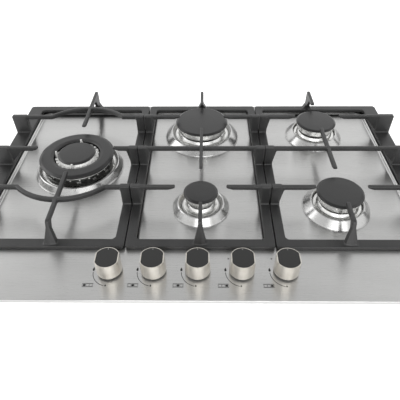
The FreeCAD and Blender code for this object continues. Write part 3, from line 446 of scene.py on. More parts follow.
def die_cast_aluminium():
    """Die-cast aluminium, tumbled: light grey, softly glossy, with fine casting grain."""
    material, shader = new_material("die_cast_aluminium")
    skin = grain(material, (0.8, 0.8, 0.8), 3, 0.6)
    clouds = grain(material, (9, 9, 9), 3, 0.5)
    colour = tint(material, clouds, "CCCCCA", "DEDEDC")
    return surface(material, shader, colour, (clouds, 0.24, 0.36), (skin, 0.18, 0.03),
                   Metallic=1)


def painted_shade_aluminium():
    """Aluminium casting painted near black as shade where the flame crown narrows under its
    head: dull, brownish black, with a soft sheen."""
    material, shader = new_material("painted_shade_aluminium")
    soot = grain(material, (5, 5, 5), 3, 0.5)
    colour = tint(material, soot, "1C1B1A", "2E2D2C")
    return surface(material, shader, colour, Roughness=0.45, Metallic=0.5)


def painted_shade_casting():
    """Turned aluminium wall, painted dark grey as shade below the dark caps: softly glossy."""
    material, shader = new_material("painted_shade_casting")
    marks = grain(material, (6, 6, 2), 3, 0.5)
    colour = tint(material, marks, "262625", "565654")
    return surface(material, shader, colour, (marks, 0.28, 0.4), Metallic=0.8)


def matt_enamel(name, hex_dark, hex_light, grain_size, roughness, bump_strength):
    """Vitreous enamel fired on steel or iron: a hard black skin with a satin sheen and a
    slightly pebbled surface."""
    material, shader = new_material(name)
    pebbles = grain(material, (grain_size,) * 3, 3, 0.55)
    clouds = grain(material, (30, 30, 30), 2, 0.5)
    colour = tint(material, clouds, hex_dark, hex_light)
    return surface(material, shader, colour, (clouds, roughness - 0.05, roughness + 0.06),
                   (pebbles, bump_strength, 0.12))


def cap_enamel():
    """Smooth satin enamel of the burner caps."""
    return matt_enamel("cap_enamel", "121212", colours().enamel, 0.9, 0.40, 0.12)


def cast_iron_enamel():
    """Enamel over sand-cast iron: the casting's grain shows through the black skin."""
    return matt_enamel("cast_iron_enamel", "1F1F1F", "292929", 1.6, 0.45, 0.45)


def satin_nickel():
    """Nickel-plated, bead-blasted and brushed knob shell: warm, softly glossy metal."""
    material, shader = new_material("satin_nickel")
    lines = grain(material, (0.6, 0.6, 14), 3, 0.6)
    clouds = grain(material, (12, 12, 12), 2, 0.5)
    colour = tint(material, clouds, "D3CEC5", colours().knob)
    return surface(material, shader, colour, (lines, 0.28, 0.42), (lines, 0.08, 0.02),
                   Metallic=1)


def plain_surface(name, dark, light, size, roughness, metallic=0.0, bump_strength=0.1):
    """A surface with slight colour, gloss and relief variation of one grain size."""
    material, shader = new_material(name)
    skin = grain(material, (size,) * 3, 3, 0.55)
    colour = tint(material, skin, dark, light)
    return surface(material, shader, colour, (skin, roughness - 0.06, roughness + 0.06),
                   (skin, bump_strength, 0.05), Metallic=metallic)


# ---- stage ----

CAMERA_PLACE = (0.0086, -0.5633, 0.4877)
CAMERA_PITCH = math.radians(43.3)
CAMERA_YAW = math.radians(-1.13)
CAMERA_ROLL = math.radians(-0.67)
FOCAL_PIXELS = 415.96
PHOTO_PIXELS = 400
WORKTOP_REACH = 6000
CUT_OUT = (-280, 280, -240, 236)    # left, right, front and back edge in millimetres


def look_direction():
    """Forward, right and up axes of the photograph's camera."""
    forward = Vector((math.sin(CAMERA_YAW) * math.cos(CAMERA_PITCH),
                      math.cos(CAMERA_YAW) * math.cos(CAMERA_PITCH), -math.sin(CAMERA_PITCH)))
    level_right = Vector((math.cos(CAMERA_YAW), -math.sin(CAMERA_YAW), 0))
    level_up = level_right.cross(forward)
    right = level_right * math.cos(CAMERA_ROLL) + level_up * math.sin(CAMERA_ROLL)
    up = level_up * math.cos(CAMERA_ROLL) - level_right * math.sin(CAMERA_ROLL)
    return forward, right, up


def add_camera():
    """The photograph's camera, fitted to the cooktop's burners and knobs."""
    forward, right, up = look_direction()
    data = bpy.data.cameras.new("photo_camera")
    data.sensor_fit = "HORIZONTAL"
    data.sensor_width = 36
    data.lens = FOCAL_PIXELS / PHOTO_PIXELS * data.sensor_width
    data.clip_start = 0.01
    data.clip_end = 30
    camera = bpy.data.objects.new("photo_camera", data)
    bpy.context.scene.collection.objects.link(camera)
    axes = Matrix((right, up, -forward)).transposed().to_4x4()
    camera.matrix_world = Matrix.Translation(CAMERA_PLACE) @ axes
    bpy.context.scene.camera = camera


def add_softbox(name, place, target, width, height, power):
    """A rectangular soft light at a place, turned to a target."""
    data = bpy.data.lights.new(name, "AREA")
    data.shape = "RECTANGLE"
    data.size = width
    data.size_y = height
    data.energy = power
    light = bpy.data.objects.new(name, data)
    bpy.context.scene.collection.objects.link(light)
    direction = Vector(target) - Vector(place)
    light.matrix_world = (Matrix.Translation(place)
                          @ direction.to_track_quat("-Z", "Y").to_matrix().to_4x4())


def add_worktop():
    """A wide pale surface just under the seal, with the cut-out that the box goes through."""
    shape = bmesh.new()
    reach = WORKTOP_REACH
    left, right, front, back = CUT_OUT
    level = -0.2
    outer = [(-reach, -reach), (reach, -reach), (reach, reach), (-reach, reach)]
    inner = [(left, front), (right, front), (right, back), (left, back)]
    outer = [shape.verts.new((*spot, level)) for spot in outer]
    inner = [shape.verts.new((*spot, level)) for spot in inner]
    for index in range(4):
        following = (index + 1) % 4
        shape.faces.new([outer[index], outer[following], inner[following], inner[index]])
    worktop = object_from("worktop", shape, smooth=False, outward=False)
    material, shader = new_material("white_laminate")
    skin = grain(material, (3, 3, 3), 2, 0.5)
    worktop.data.materials.append(surface(
        material, shader, tint(material, skin, "F1F1F1", colours().floor), Roughness=0.9,
        Specular_IOR_Level=0.0, Emission_Color=(1, 1, 1, 1), Emission_Strength=0.45))


# brightness of the studio by the sine of the height above the horizon
STUDIO_SHADES = ((0.0, "FFFFFF"), (0.5, "F2F2F2"), (0.68, "DEDEDE"), (0.78, "D4D4D4"),
                 (0.86, "909090"), (1.0, "747474"))


def studio_world():
    """A studio that is brightest near the horizon and dimmer overhead."""
    world = bpy.data.worlds.new("studio")
    world.use_nodes = True
    background = world.node_tree.nodes["Background"]
    place = add_node(world, "ShaderNodeTexCoord")
    height = add_node(world, "ShaderNodeSeparateXYZ", {"Vector": (place, "Generated")})
    ramp = add_node(world, "ShaderNodeValToRGB", {"Fac": (height, "Z")})
    stops = ramp.color_ramp.elements
    while len(stops) < len(STUDIO_SHADES):
        stops.new(0.5)
    for stop, (position, shade) in zip(stops, STUDIO_SHADES):
        stop.position = position
        stop.color = linear(shade)
    connect(world, ramp, "Color", background, "Color")
    background.inputs["Strength"].default_value = 1.6
    return world


class CooktopStage(bpy.types.Operator):
    """Make the worktop, the soft studio light and the photograph's camera."""

    bl_idname = "cooktop.make_stage"
    bl_label = "Stage"

    def execute(self, context):
        context.scene.world = studio_world()
        context.scene.view_settings.view_transform = "Standard"
        add_worktop()
        add_camera()
        add_softbox("front_softbox", (0.2, -1.5, 0.9), (0, 0, 0), 1.6, 0.8, 14)
        add_softbox("left_softbox", (-1.7, 0.4, 1.0), (0, 0, 0), 1.0, 1.0, 7)
        return {"FINISHED"}


# ---- steel top ----

def corner_loop(left, right, front, back, radius, steps):
    """Plan points of a rounded rectangle, the same count for every size."""
    corners = [(right, front, -90), (right, back, 0), (left, back, 90), (left, front, 180)]
    points = []
    for x, y, start in corners:
        centre_x = x - math.copysign(radius, x - (left + right) / 2)
        centre_y = y - math.copysign(radius, y - (front + back) / 2)
        for step in range(steps + 1):
            turn = math.radians(start + 90 * step / steps)
            points.append((centre_x + radius * math.cos(turn),
                           centre_y + radius * math.sin(turn)))
    return points


def bridge(shape, rings):
    """Quads between rings with equal counts."""
    for low, high in zip(rings, rings[1:]):
        for index in range(len(low)):
            following = (index + 1) % len(low)
            shape.faces.new([low[index], low[following], high[following], high[index]])


def well_edges():
    """Plan of the well's upper edge: left, right, front, back."""
    return (PLATE.low.x + WELL_SIDE, PLATE.high.x - WELL_SIDE, PLATE.low.y + WELL_FRONT,
            PLATE.high.y - WELL_BACK)


def sheet_rings(shape, edges, section, radius, shrink):
    """Rings of a pressed sheet: plan edges moved in by each (inset, height) of a section,
    with corners that get tighter by a share of the inset."""
    left, right, front, back = edges
    rings = []
    for inset, height in section:
        plan = corner_loop(left + inset, right - inset, front + inset, back - inset,
                           max(radius - inset * shrink, 0.6), 10)
        rings.append([shape.verts.new((x, y, height)) for x, y in plan])
    return rings


def drill(centre, radius, steps):
    """Upright cutter for a round hole through the steel."""
    return lathe("hole", [(0, -20, 0), (radius, -20, 0), (radius, 20, 0), (0, 20, 0)],
                 centre, steps)


def make_steel_top():
    """Pressed sheet with a folded edge, a well with rounded walls, and its holes."""
    fold = sizes().fold_radius / MM
    drop = sizes().well_drop / MM
    shape = bmesh.new()
    edge = rounded([(0, PLATE.low.z, 0), (0, RIM, 0.9), (12, RIM, 0)], 5, closed=False)
    plan = (PLATE.low.x, PLATE.high.x, PLATE.low.y, PLATE.high.y)
    rings = sheet_rings(shape, plan, edge, OUTER_CORNER, 1)
    wall = rounded([(-8, RIM, 0), (1, RIM, fold), (drop - 0.8, RIM - drop, fold),
                    (drop + 14, RIM - drop, 0)], 6, closed=False)
    rings += sheet_rings(shape, well_edges(), wall, WELL_CORNER, 0.5)
    bridge(shape, rings)
    shape.faces.new(rings[-1])
    bmesh.ops.recalc_face_normals(shape, faces=shape.faces)
    if rings[-1][0].link_faces[-1].normal.z < 0:
        bmesh.ops.reverse_faces(shape, faces=shape.faces)
    top = object_from("steel_top", shape, outward=False)
    wall = top.modifiers.new("Sheet", "SOLIDIFY")
    wall.thickness = sizes().sheet
    wall.offset = -1
    settle(top)
    cutters = []
    for burner in BURNERS:
        cup = Extent(f"burner_cup_{burner}")
        ring = Extent(f"trim_ring_{burner}")
        radius = cup.radius - (2.5 if burner == "wok" else 9.5)
        cutters.append(drill(ring.centre, radius, 48))
    for number in KNOBS:
        spindle = Extent(f"valve_spindle_{number}")
        cutters.append(drill(spindle.centre, spindle.radius + 1, 24))
    carve(top, cutters)
    flatten(top)
    brushing = top.data.uv_layers.new(name="brushing")
    for loop in top.data.loops:
        spot = top.data.vertices[loop.vertex_index].co
        brushing.data[loop.index].uv = (spot.x, spot.y)
    top.data.uv_layers.active = brushing
    dress(top, brushed_stainless(), "hob", "top_plate", slot="brushed_plate")


class CooktopSteelTop(bpy.types.Operator):
    """Make the pressed steel top with its well and folded edges."""

    bl_idname = "cooktop.make_steel_top"
    bl_label = "Steel top"

    def execute(self, context):
        make_steel_top()
        return {"FINISHED"}


# ---- burners ----

CREST = {"wok": 72, "rapid": 60, "auxiliary": 38, "rear_right": 43, "front_right": 43}


def make_trim_ring(burner, material):
    """Spun ring: rolled lip on the steel, sloping flank, rounded crest, dished inside."""
    ring = Extent(f"trim_ring_{burner}")
    cup = Extent(f"burner_cup_{burner}")
    low = ring.low.z
    high = ring.high.z
    crest = CREST[burner]
    inner = cup.radius - 0.8
    seat = cup.high.z - 3
    profile = [
        (ring.radius - 2.6, low + 0.05, 0.3), (ring.radius, low + 0.05, 0.5),
        (ring.radius, low + 1.0, 0.5), (ring.radius - 1.2, low + 1.2, 0.5),
        (ring.radius - 2.2, low + 2.4, 0.8), (crest + 1.2, high - 1.4, 1.4),
        (crest - 0.6, high, 1.2), (crest - 2.2, high - 1.4, 0.8),
        (cup.radius + 1.6, seat + 0.1, 1.2), (inner, seat, 0.2), (inner, seat - 0.9, 0.2),
        (cup.radius + 2.4, seat - 0.9, 1.0), (crest - 1.4, high - 2.4, 0.8),
        (crest - 0.4, high - 2.4, 0.8), (ring.radius - 4, low + 0.9, 0.8),
    ]
    piece = lathe(f"trim_ring_{burner}_spun", profile, ring.centre, arc_steps=5)
    dress(piece, material, "hob", f"trim_ring_{burner}", slot="polished_ring")


def make_cup(burner, material):
    """Upper flange of the cast cup, over its plain lower body."""
    cup = Extent(f"burner_cup_{burner}")
    top = cup.high.z
    foot = cup.radius - (6.5 if burner == "wok" else 8.5)
    neck = 43 if burner == "wok" else foot - 2
    profile = [
        (0, cup.low.z, 0), (neck, cup.low.z, 1.5), (neck, 1.5, 0.3), (neck + 4, 1.5, 0.3),
        (neck + 4, top - 3, 0.4), (cup.radius, top - 3, 0.4), (cup.radius, top, 0.9),
        (foot + 0.5, top, 0.6), (foot - 1, top - 0.8, 0.6), (neck - 3, top - 0.8, 0.4),
        (neck - 3, cup.low.z + 12, 1.5), (0, cup.low.z + 12, 0),
    ]
    piece = lathe(f"cup_{burner}_cast", profile, cup.centre)
    dress(piece, material, "hob", f"burner_cup_{burner}", slot="cast_aluminium")


def tooth_ring_tree():
    """Node tree that sets copies of a tooth on a circle and makes them real."""
    tree = bpy.data.node_groups.new("tooth_ring", "GeometryNodeTree")
    for name, kind in (("Geometry", "Geometry"), ("Tooth", "Object"), ("Count", "Int"),
                       ("Radius", "Float"), ("Material", "Material")):
        tree.interface.new_socket(name, in_out="INPUT", socket_type=f"NodeSocket{kind}")
    tree.interface.new_socket("Geometry", in_out="OUTPUT", socket_type="NodeSocketGeometry")
    given = add_node(tree, "NodeGroupInput")
    circle = add_node(tree, "GeometryNodeMeshCircle", {
        "Vertices": (given, "Count"), "Radius": (given, "Radius")})
    tooth = add_node(tree, "GeometryNodeObjectInfo", {"Object": (given, "Tooth")})
    place = add_node(tree, "GeometryNodeInputPosition")
    turn = add_node(tree, "FunctionNodeAlignRotationToVector", {
        "Vector": (place, "Position")}, axis="X", pivot_axis="Z")
    copies = add_node(tree, "GeometryNodeInstanceOnPoints", {
        "Points": (circle, "Mesh"), "Instance": (tooth, "Geometry"),
        "Rotation": (turn, "Rotation")})
    real = add_node(tree, "GeometryNodeRealizeInstances", {"Geometry": (copies, "Instances")})
    finished = add_node(tree, "GeometryNodeSetMaterial", {
        "Geometry": (real, "Geometry"), "Material": (given, "Material")})
    add_node(tree, "NodeGroupOutput", {"Geometry": (finished, "Geometry")})
    return tree


def tooth_object(depth, width, height):
    """One tooth between two flame ports, with rounded edges, centred on the origin."""
    shape = bmesh.new()
    block_into(shape, (-depth, -width / 2, 0), (0, width / 2, height))
    tooth = object_from("tooth", shape)
    return soften(tooth, 0.25, 1)


def make_teeth(name, tree, tooth, count, radius, centre, level, material, body):
    """A ring of teeth at a height, turned into a plain mesh in place."""
    host = new_object(name, bpy.data.meshes.new(name))
    ring = host.modifiers.new("Teeth", "NODES")
    ring.node_group = tree
    sockets = {item.name: item.identifier for item in tree.interface.items_tree
               if item.in_out == "INPUT"}
    ring[sockets["Tooth"]] = tooth
    ring[sockets["Count"]] = count
    ring[sockets["Radius"]] = radius * MM
    ring[sockets["Material"]] = material
    settle(host)
    host.data.transform(Matrix.Translation(Vector((centre.x, centre.y, level)) * MM))
    dress(host, material, body)


PORTS = {"rapid": 36, "auxiliary": 20, "rear_right": 28, "front_right": 28}


def make_simple_crown(burner, tree, material, dark):
    """Flame crown: a narrow neck painted dark as shade, a bright head and a ring of port teeth
    in it.
    """
    crown = Extent(f"burner_crown_{burner}")
    node = f"burner_crown_{burner}"
    body = f"crown_{burner}"
    roof = crown.high.z
    top = crown.radius
    foot = top - 3
    seat = Extent(f"burner_cup_{burner}").high.z
    flare = roof - 12.5
    port = 4
    head = [
        (top - 5, flare - 0.6, 0.4), (top - 1.6, flare, 0.8), (top, flare + 2.4, 1.5),
        (top, roof - 1.2 - port, 0.2), (top - 1.4, roof - 1.2 - port, 0.1),
        (top - 1.4, roof - 1.2, 0.1), (top + 0.6, roof - 1.2, 0.2), (top + 0.6, roof - 0.1, 0.2),
        (top - 5, roof - 0.1, 0.2),
    ]
    piece = lathe(f"crown_{burner}_cast", head, crown.centre)
    dress(piece, material, body, node, slot="cast_aluminium")
    dish = [
        (10, seat, 0), (top - 0.2, seat, 0.3), (top - 0.6, seat + 1.6, 1.0),
        (foot - 0.5, seat + 6.5, 1.5), (10, seat + 6.5, 0.3),
    ]
    dress(lathe(f"crown_{burner}_dish", dish, crown.centre), material, body,
          slot="cast_aluminium")
    # The neck gets the near-black material: painted shade under the crown's head.
    neck = [
        (8, 1.5, 0.3), (10, 1.5, 0.3), (10, seat + 6, 0), (foot - 1.5, seat + 6, 0.4),
        (top - 6, flare - 0.6, 0.4), (top - 6, roof - 1, 0.2), (10, roof - 1, 0.2),
        (8, roof - 3, 0.3),
    ]
    dress(lathe(f"crown_{burner}_neck", neck, crown.centre), dark, body,
          slot="cast_aluminium")
    count = PORTS[burner]
    width = 2 * math.pi * top / count - 1.9
    tooth = tooth_object(1.7, width, port)
    make_teeth(f"ports_{burner}", tree, tooth, count, top, crown.centre, roof - 1.2 - port,
               material, body)
    bpy.data.objects.remove(tooth)


def make_wok_crowns(tree, material, glossy, matt):
    """Outer ring crown with square ports, and the inner crown with four flame prongs."""
    outer = Extent("burner_crown_wok_outer")
    seat = outer.low.z
    roof = outer.high.z
    top = outer.radius
    foot = top - 3
    eye = 42
    profile = [
        (eye, seat, 0.3), (foot, seat, 0.2), (foot, seat + 2, 0.2), (top - 0.5, seat + 2.4, 0.4),
        (top - 0.5, roof - 0.1, 0.1), (eye, roof - 0.1, 0.4),
    ]
    # The outer crown's wall takes the dark grey casting: painted shade under the ring cap.
    piece = lathe("crown_wok_outer_cast", profile, outer.centre)
    dress(piece, glossy, "crown_wok_outer", "burner_crown_wok_outer",
          slot="cast_aluminium")
    band = lathe("crown_wok_outer_rim", [
        (foot - 1, roof - 5.4, 0.1), (top, roof - 5.4, 0.4), (top, roof - 4.4, 0.4),
        (foot - 1, roof - 4.4, 0.1)], outer.centre)
    dress(band, material, "crown_wok_outer", slot="cast_aluminium")
    for count, width, level, height in ((14, 7.0, seat + 5, 3.8), (24, 2.6, roof - 9, 2.2)):
        tooth = tooth_object(3, width, height)
        make_teeth(f"ports_wok_outer_{count}", tree, tooth, count, top, outer.centre, level,
                   material, "crown_wok_outer")
        bpy.data.objects.remove(tooth)

    inner = Extent("burner_crown_wok_inner")
    cap = Extent("burner_cap_wok_inner")
    under = cap.low.z + 2
    rim = inner.radius - 0.4
    shelf = under - 3.4
    profile = [
        (8, 1.5, 0.3), (10, 1.5, 0.3), (10, 10, 0), (20, 10, 0.4), (24, shelf - 9, 1.5),
        (rim - 1, shelf - 8, 0.8), (rim, shelf - 6.5, 0.5), (rim, shelf - 4.5, 0.2),
        (rim - 4.5, shelf - 1, 0.3), (rim - 7.5, under - 0.3, 0.2), (8, under - 0.3, 0.3),
    ]
    piece = lathe("crown_wok_inner_cast", profile, inner.centre)
    dress(piece, matt, "crown_wok_inner", "burner_crown_wok_inner",
          slot="cast_aluminium")
    count = 24
    tooth = tooth_object(6, 2 * math.pi * rim / count - 5.2, 4.6)
    make_teeth("ports_wok_inner", tree, tooth, count, rim, inner.centre, shelf - 4.6,
               matt, "crown_wok_inner")
    bpy.data.objects.remove(tooth)
    shape = bmesh.new()
    for quarter in range(4):
        turn = Matrix.Rotation(math.pi / 2 * quarter, 4, "Z")
        fronts = []
        for side in (-1, 1):
            fronts.append([shape.verts.new(turn @ Vector((x, side * half, z))
                                           + Vector((*inner.centre.xy, 0)))
                           for x, half, z in (
                               (rim - 4.4, 2.6, shelf - 5), (rim - 0.2, 2.6, shelf - 5),
                               (rim - 0.2, 2.2, shelf + 2), (rim - 0.8, 1.5, cap.high.z + 1.5),
                               (rim - 3.2, 1.5, cap.high.z + 1.5), (rim - 4.4, 2.2, shelf + 2))])
        shape.faces.new(fronts[0])
        shape.faces.new(fronts[1])
        bridge(shape, fronts)
    prongs = soften(object_from("flame_prongs", shape), 0.4, 2)
    dress(prongs, matt, "crown_wok_inner", slot="cast_aluminium")


def make_cap(burner, material):
    """Enamelled cap: rounded rim, slightly domed top and a locating skirt below."""
    cap = Extent(f"burner_cap_{burner}")
    under = cap.low.z + 2
    top = cap.high.z
    skirt = cap.radius - 6.5
    profile = [
        (0, under, 0), (skirt - 2, under, 0.2), (skirt - 2, cap.low.z, 0.2),
        (skirt, cap.low.z, 0.2), (skirt, under, 0.2), (cap.radius - 1.2, under, 0.4),
        (cap.radius, under + 1.3, 1.0), (cap.radius, top - 2.6, 2.6),
        (cap.radius - 3.4, top - 0.45, 3.0), (cap.radius * 0.5, top - 0.1, 10), (0, top, 0),
    ]
    piece = lathe(f"cap_{burner}_enamelled", profile, cap.centre, arc_steps=6)
    dress(piece, material, f"cap_{burner}", f"burner_cap_{burner}", slot="enamelled_cap")


def make_wok_ring_cap(material):
    """Ring-shaped cap of the wok burner, with a locating skirt below."""
    cap = Extent("burner_cap_wok_outer")
    eye = 41
    under = cap.low.z + 2
    top = cap.high.z
    profile = [
        (eye, under, 0.3), (45.5, under, 0.2), (45.5, cap.low.z, 0.2),
        (47.5, cap.low.z, 0.2), (47.5, under, 0.2), (cap.radius - 1.2, under, 0.4),
        (cap.radius, under + 1.2, 0.8), (cap.radius, top - 2.6, 2.6),
        (cap.radius - 5, top - 0.3, 5), (eye + 6, top, 4), (eye + 1.4, top - 0.8, 2.0),
        (eye, top - 2.2, 0.8),
    ]
    piece = lathe("cap_wok_outer_enamelled", profile, cap.centre, arc_steps=6)
    dress(piece, material, "cap_wok_outer", "burner_cap_wok_outer", slot="enamelled_cap")


class CooktopBurners(bpy.types.Operator):
    """Make the trim rings, cups, flame crowns and caps of the five burners."""

    bl_idname = "cooktop.make_burners"
    bl_label = "Burners"

    def execute(self, context):
        polished = polished_stainless()
        cast = die_cast_aluminium()
        dark = painted_shade_aluminium()
        enamel = cap_enamel()
        tree = tooth_ring_tree()
        for burner in BURNERS:
            make_trim_ring(burner, polished)
            make_cup(burner, cast)
        for burner in SIMPLE_BURNERS:
            make_simple_crown(burner, tree, cast, dark)
            make_cap(burner, enamel)
        make_wok_crowns(tree, cast, painted_shade_casting(), plain_surface(
            "blasted_aluminium", "C4C4C2", "DADAD8", 1.5, 0.5, metallic=0.4))
        make_cap("wok_inner", enamel)
        make_wok_ring_cap(enamel)
        return {"FINISHED"}


# ---- pan supports ----

def cast_from_solid(node_name, piece_name):
    """A sand-cast look: the solid's shape with its edges and inner corners rounded."""
    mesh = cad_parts[node_name].data.copy()
    piece = new_object(piece_name, mesh)
    shape = bmesh.new()
    shape.from_mesh(mesh)
    bmesh.ops.remove_doubles(shape, verts=shape.verts, dist=1e-6)
    shape.to_mesh(mesh)
    shape.free()
    grid = piece.modifiers.new("Grid", "REMESH")
    grid.mode = "VOXEL"
    grid.voxel_size = sizes().casting_grid
    grid.use_smooth_shade = True
    rounding = piece.modifiers.new("Rounding", "SMOOTH")
    rounding.factor = 0.5
    rounding.iterations = sizes().casting_rounds
    settle(piece)
    return piece


class CooktopPanSupports(bpy.types.Operator):
    """Make the three cast-iron pan supports."""

    bl_idname = "cooktop.make_pan_supports"
    bl_label = "Pan supports"

    def execute(self, context):
        iron = cast_iron_enamel()
        for side in ("left", "centre", "right"):
            piece = cast_from_solid(f"pan_support_{side}", f"pan_support_{side}_cast")
            dress(piece, iron, f"support_{side}", f"pan_support_{side}",
                  slot="enamelled_iron")
        return {"FINISHED"}


# ---- knobs ----

def knob_flat_cutter(centre, side, top_reach, foot_reach, top, foot):
    """Slanted block that leaves a flat on one side of a knob."""
    shape = bmesh.new()
    far = 30
    verts = block_into(shape, (-far, -far, foot), (far, far, top))
    for vert in verts:
        if vert.co.x * side > 0:
            vert.co.x = side * (far + 10)
        else:
            vert.co.x = side * (top_reach if vert.co.z > (top + foot) / 2 else foot_reach)
        vert.co.x += centre.x
        vert.co.y += centre.y
    return object_from("flat", shape)


def make_knob(number, shell_material, insert_material, tick_material):
    """Hollow shell with two slanted flats, the insert in its top and the mark on that."""
    shell = Extent(f"knob_shell_{number}")
    disc = Extent(f"knob_top_{number}")
    centre = shell.centre
    bottom = shell.low.z
    top = shell.high.z
    radius = shell.radius
    roof = disc.low.z
    body = f"knob_{number}"
    outer = lathe(f"knob_{number}_shell", [
        (0, bottom, 0), (radius - 0.1, bottom, 0.6), (radius - 0.35, top, 0), (0, top, 0)],
        centre, 128)
    cutters = [knob_flat_cutter(centre, side, 16.2, 18.5, top + 1, bottom + 1)
               for side in (1, -1)]
    recess = lathe("recess", [(0, roof, 0), (radius - 1.15, roof, 0.3),
                              (radius - 1.15, top + 2, 0), (0, top + 2, 0)], centre, 128)
    recess = carve(recess, [knob_flat_cutter(centre, side, 15.1, 15.1, top + 5, roof - 5)
                            for side in (1, -1)])
    bore = radius - 3.2
    hollow = lathe("hollow", [(0, bottom - 2, 0), (bore, bottom - 2, 0),
                              (bore, roof - 2.5, 1), (0, roof - 2.5, 0)], centre, 96)
    carve(outer, [*cutters, recess, hollow])
    soften(outer, 0.35, 3, 30)
    dress(outer, shell_material, body, f"knob_shell_{number}", slot="satin_metal")

    insert = lathe(f"knob_{number}_insert", [
        (0, roof + 0.02, 0), (radius - 1.25, roof + 0.02, 0.2),
        (radius - 1.25, disc.high.z, 0), (0, disc.high.z, 0)], centre, 128)
    carve(insert, [knob_flat_cutter(centre, side, 15.0, 15.0, top + 5, roof - 5)
                   for side in (1, -1)])
    soften(insert, 0.4, 3, 30)
    dress(insert, insert_material, body, f"knob_top_{number}", slot="black_insert")

    shape = bmesh.new()
    tick_y = centre.y + radius - 4.6
    block_into(shape, (centre.x - 0.35, tick_y, disc.high.z - 0.2),
               (centre.x + 0.35, tick_y + 2.2, disc.high.z + 0.04))
    tick = object_from(f"knob_{number}_tick", shape, smooth=False)
    dress(tick, tick_material, body, slot="black_insert")


class CooktopKnobs(bpy.types.Operator):
    """Make the five control knobs."""

    bl_idname = "cooktop.make_knobs"
    bl_label = "Knobs"

    def execute(self, context):
        nickel = satin_nickel()
        plastic = plain_surface("black_insert_plastic", "0E0E0D", "131312", 1.2, 0.42,
                                bump_strength=0.03)
        white = plain_surface("grey_tick_paint", "8C8C8A", "9A9A98", 1.0, 0.5)
        for number in KNOBS:
            make_knob(number, nickel, plastic, white)
        return {"FINISHED"}


# ---- printed marks on the control strip ----

MARK_LEVEL = 0.04
ARC_REACH = 24.9
ARC_SHIFT = Vector((1.5, -2))
ARC_FROM = 175
ARC_SWEEP = 81
SIGN_SHIFT = Vector((-34.5, -28))
SIGN_WIDTH = 15
SIGN_DEPTH = 5.6
CELL_PITCH = 4.6
CELL_HALF = 1.9
SPARK_SHIFT = Vector((-18.4, 22.2))
BURNER_CELLS = {1: 0, 2: 1, 3: 1, 4: 2, 5: 2}     # knob number: filled cell of its sign


def strip_into(shape, path, width, level, closed=False):
    """Adds a flat ribbon of even width along plan points."""
    points = [Vector(spot) for spot in path]
    count = len(points)
    sides = []
    for index, point in enumerate(points):
        before = points[index - 1] if closed or index else point
        after = points[(index + 1) % count] if closed or index < count - 1 else point
        along = (after - before).normalized()
        across = Vector((-along.y, along.x)) * width / 2
        sides.append((point + across, point - across))
    quads = list(zip(sides, sides[1:]))
    if closed:
        quads.append((sides[-1], sides[0]))
    for near, far in quads:
        corners = (near[0], near[1], far[1], far[0])
        shape.faces.new([shape.verts.new((*corner, level)) for corner in corners])


def fill_into(shape, outline, level):
    """Adds a flat printed field."""
    shape.faces.new([shape.verts.new((*spot, level)) for spot in outline])


def flame_outline(x, y, size, stretch):
    """Plan points of a small flame drop, stretched to the back."""
    points = []
    for step in range(16):
        turn = 2 * math.pi * step / 16
        narrowing = 1 - 0.75 * max(math.sin(turn), 0) ** 2
        points.append((x + size * 0.45 * math.cos(turn) * narrowing,
                       y + size * stretch * (0.35 * math.sin(turn)
                                             + 0.3 * max(math.sin(turn), 0))))
    return points


def along_arc(share):
    """Place on the scale's arc, from its hidden end at the knob to its small flame."""
    turn = math.radians(ARC_FROM + ARC_SWEEP * share)
    return Vector((math.cos(turn), math.sin(turn))) * ARC_REACH


def rectangle(corner, width, depth):
    left, low = corner
    return [(left, low), (left + width, low), (left + width, low + depth),
            (left, low + depth)]


def print_sign(shape, corner, filled, level):
    """Framed row of three cells, with the cell of the knob's burner filled."""
    strip_into(shape, rectangle(corner, SIGN_WIDTH, SIGN_DEPTH), 0.8, level, True)
    for cell in range(3):
        square = rectangle((corner.x + 1 + cell * CELL_PITCH, corner.y + 0.9),
                           2 * CELL_HALF, 2 * CELL_HALF)
        if cell == filled:
            fill_into(shape, square, level)
        else:
            strip_into(shape, square, 0.5, level, True)


def print_spark(shape, centre, level):
    """Small six-pointed star for the ignition."""
    for turn in (0, 60, 120):
        stroke = Vector((math.cos(math.radians(turn)), math.sin(math.radians(turn)))) * 1.7
        strip_into(shape, [centre - stroke, centre + stroke], 0.5, level)


class CooktopMarks(bpy.types.Operator):
    """Print the generic scales and burner-position signs round the knobs."""

    bl_idname = "cooktop.make_marks"
    bl_label = "Panel marks"

    def execute(self, context):
        ink = plain_surface("screen_print_ink", "141414", "1C1C1C", 1.0, 0.6)
        shape = bmesh.new()
        level = RIM + MARK_LEVEL
        for number in KNOBS:
            centre = Extent(f"knob_shell_{number}").centre.xy
            arc = [centre + ARC_SHIFT + along_arc(step / 24) for step in range(2, 25)]
            strip_into(shape, arc, 0.9, level)
            fill_into(shape, flame_outline(centre.x - 23.4, centre.y + 1.5, 3.6, 1.9), level)
            end = arc[-1]
            fill_into(shape, flame_outline(end.x + 2.2, end.y, 2.6, 1.3), level)
            print_sign(shape, centre + SIGN_SHIFT, BURNER_CELLS[number], level)
            if BURNER_CELLS[number] == 2:
                print_spark(shape, centre + SPARK_SHIFT, level)
        marks = object_from("panel_marks", shape, smooth=False, outward=False)
        for face in marks.data.polygons:
            if face.normal.z < 0:
                face.flip()
        dress(marks, ink, "hob")
        return {"FINISHED"}


# ---- fittings that keep their solid shape ----

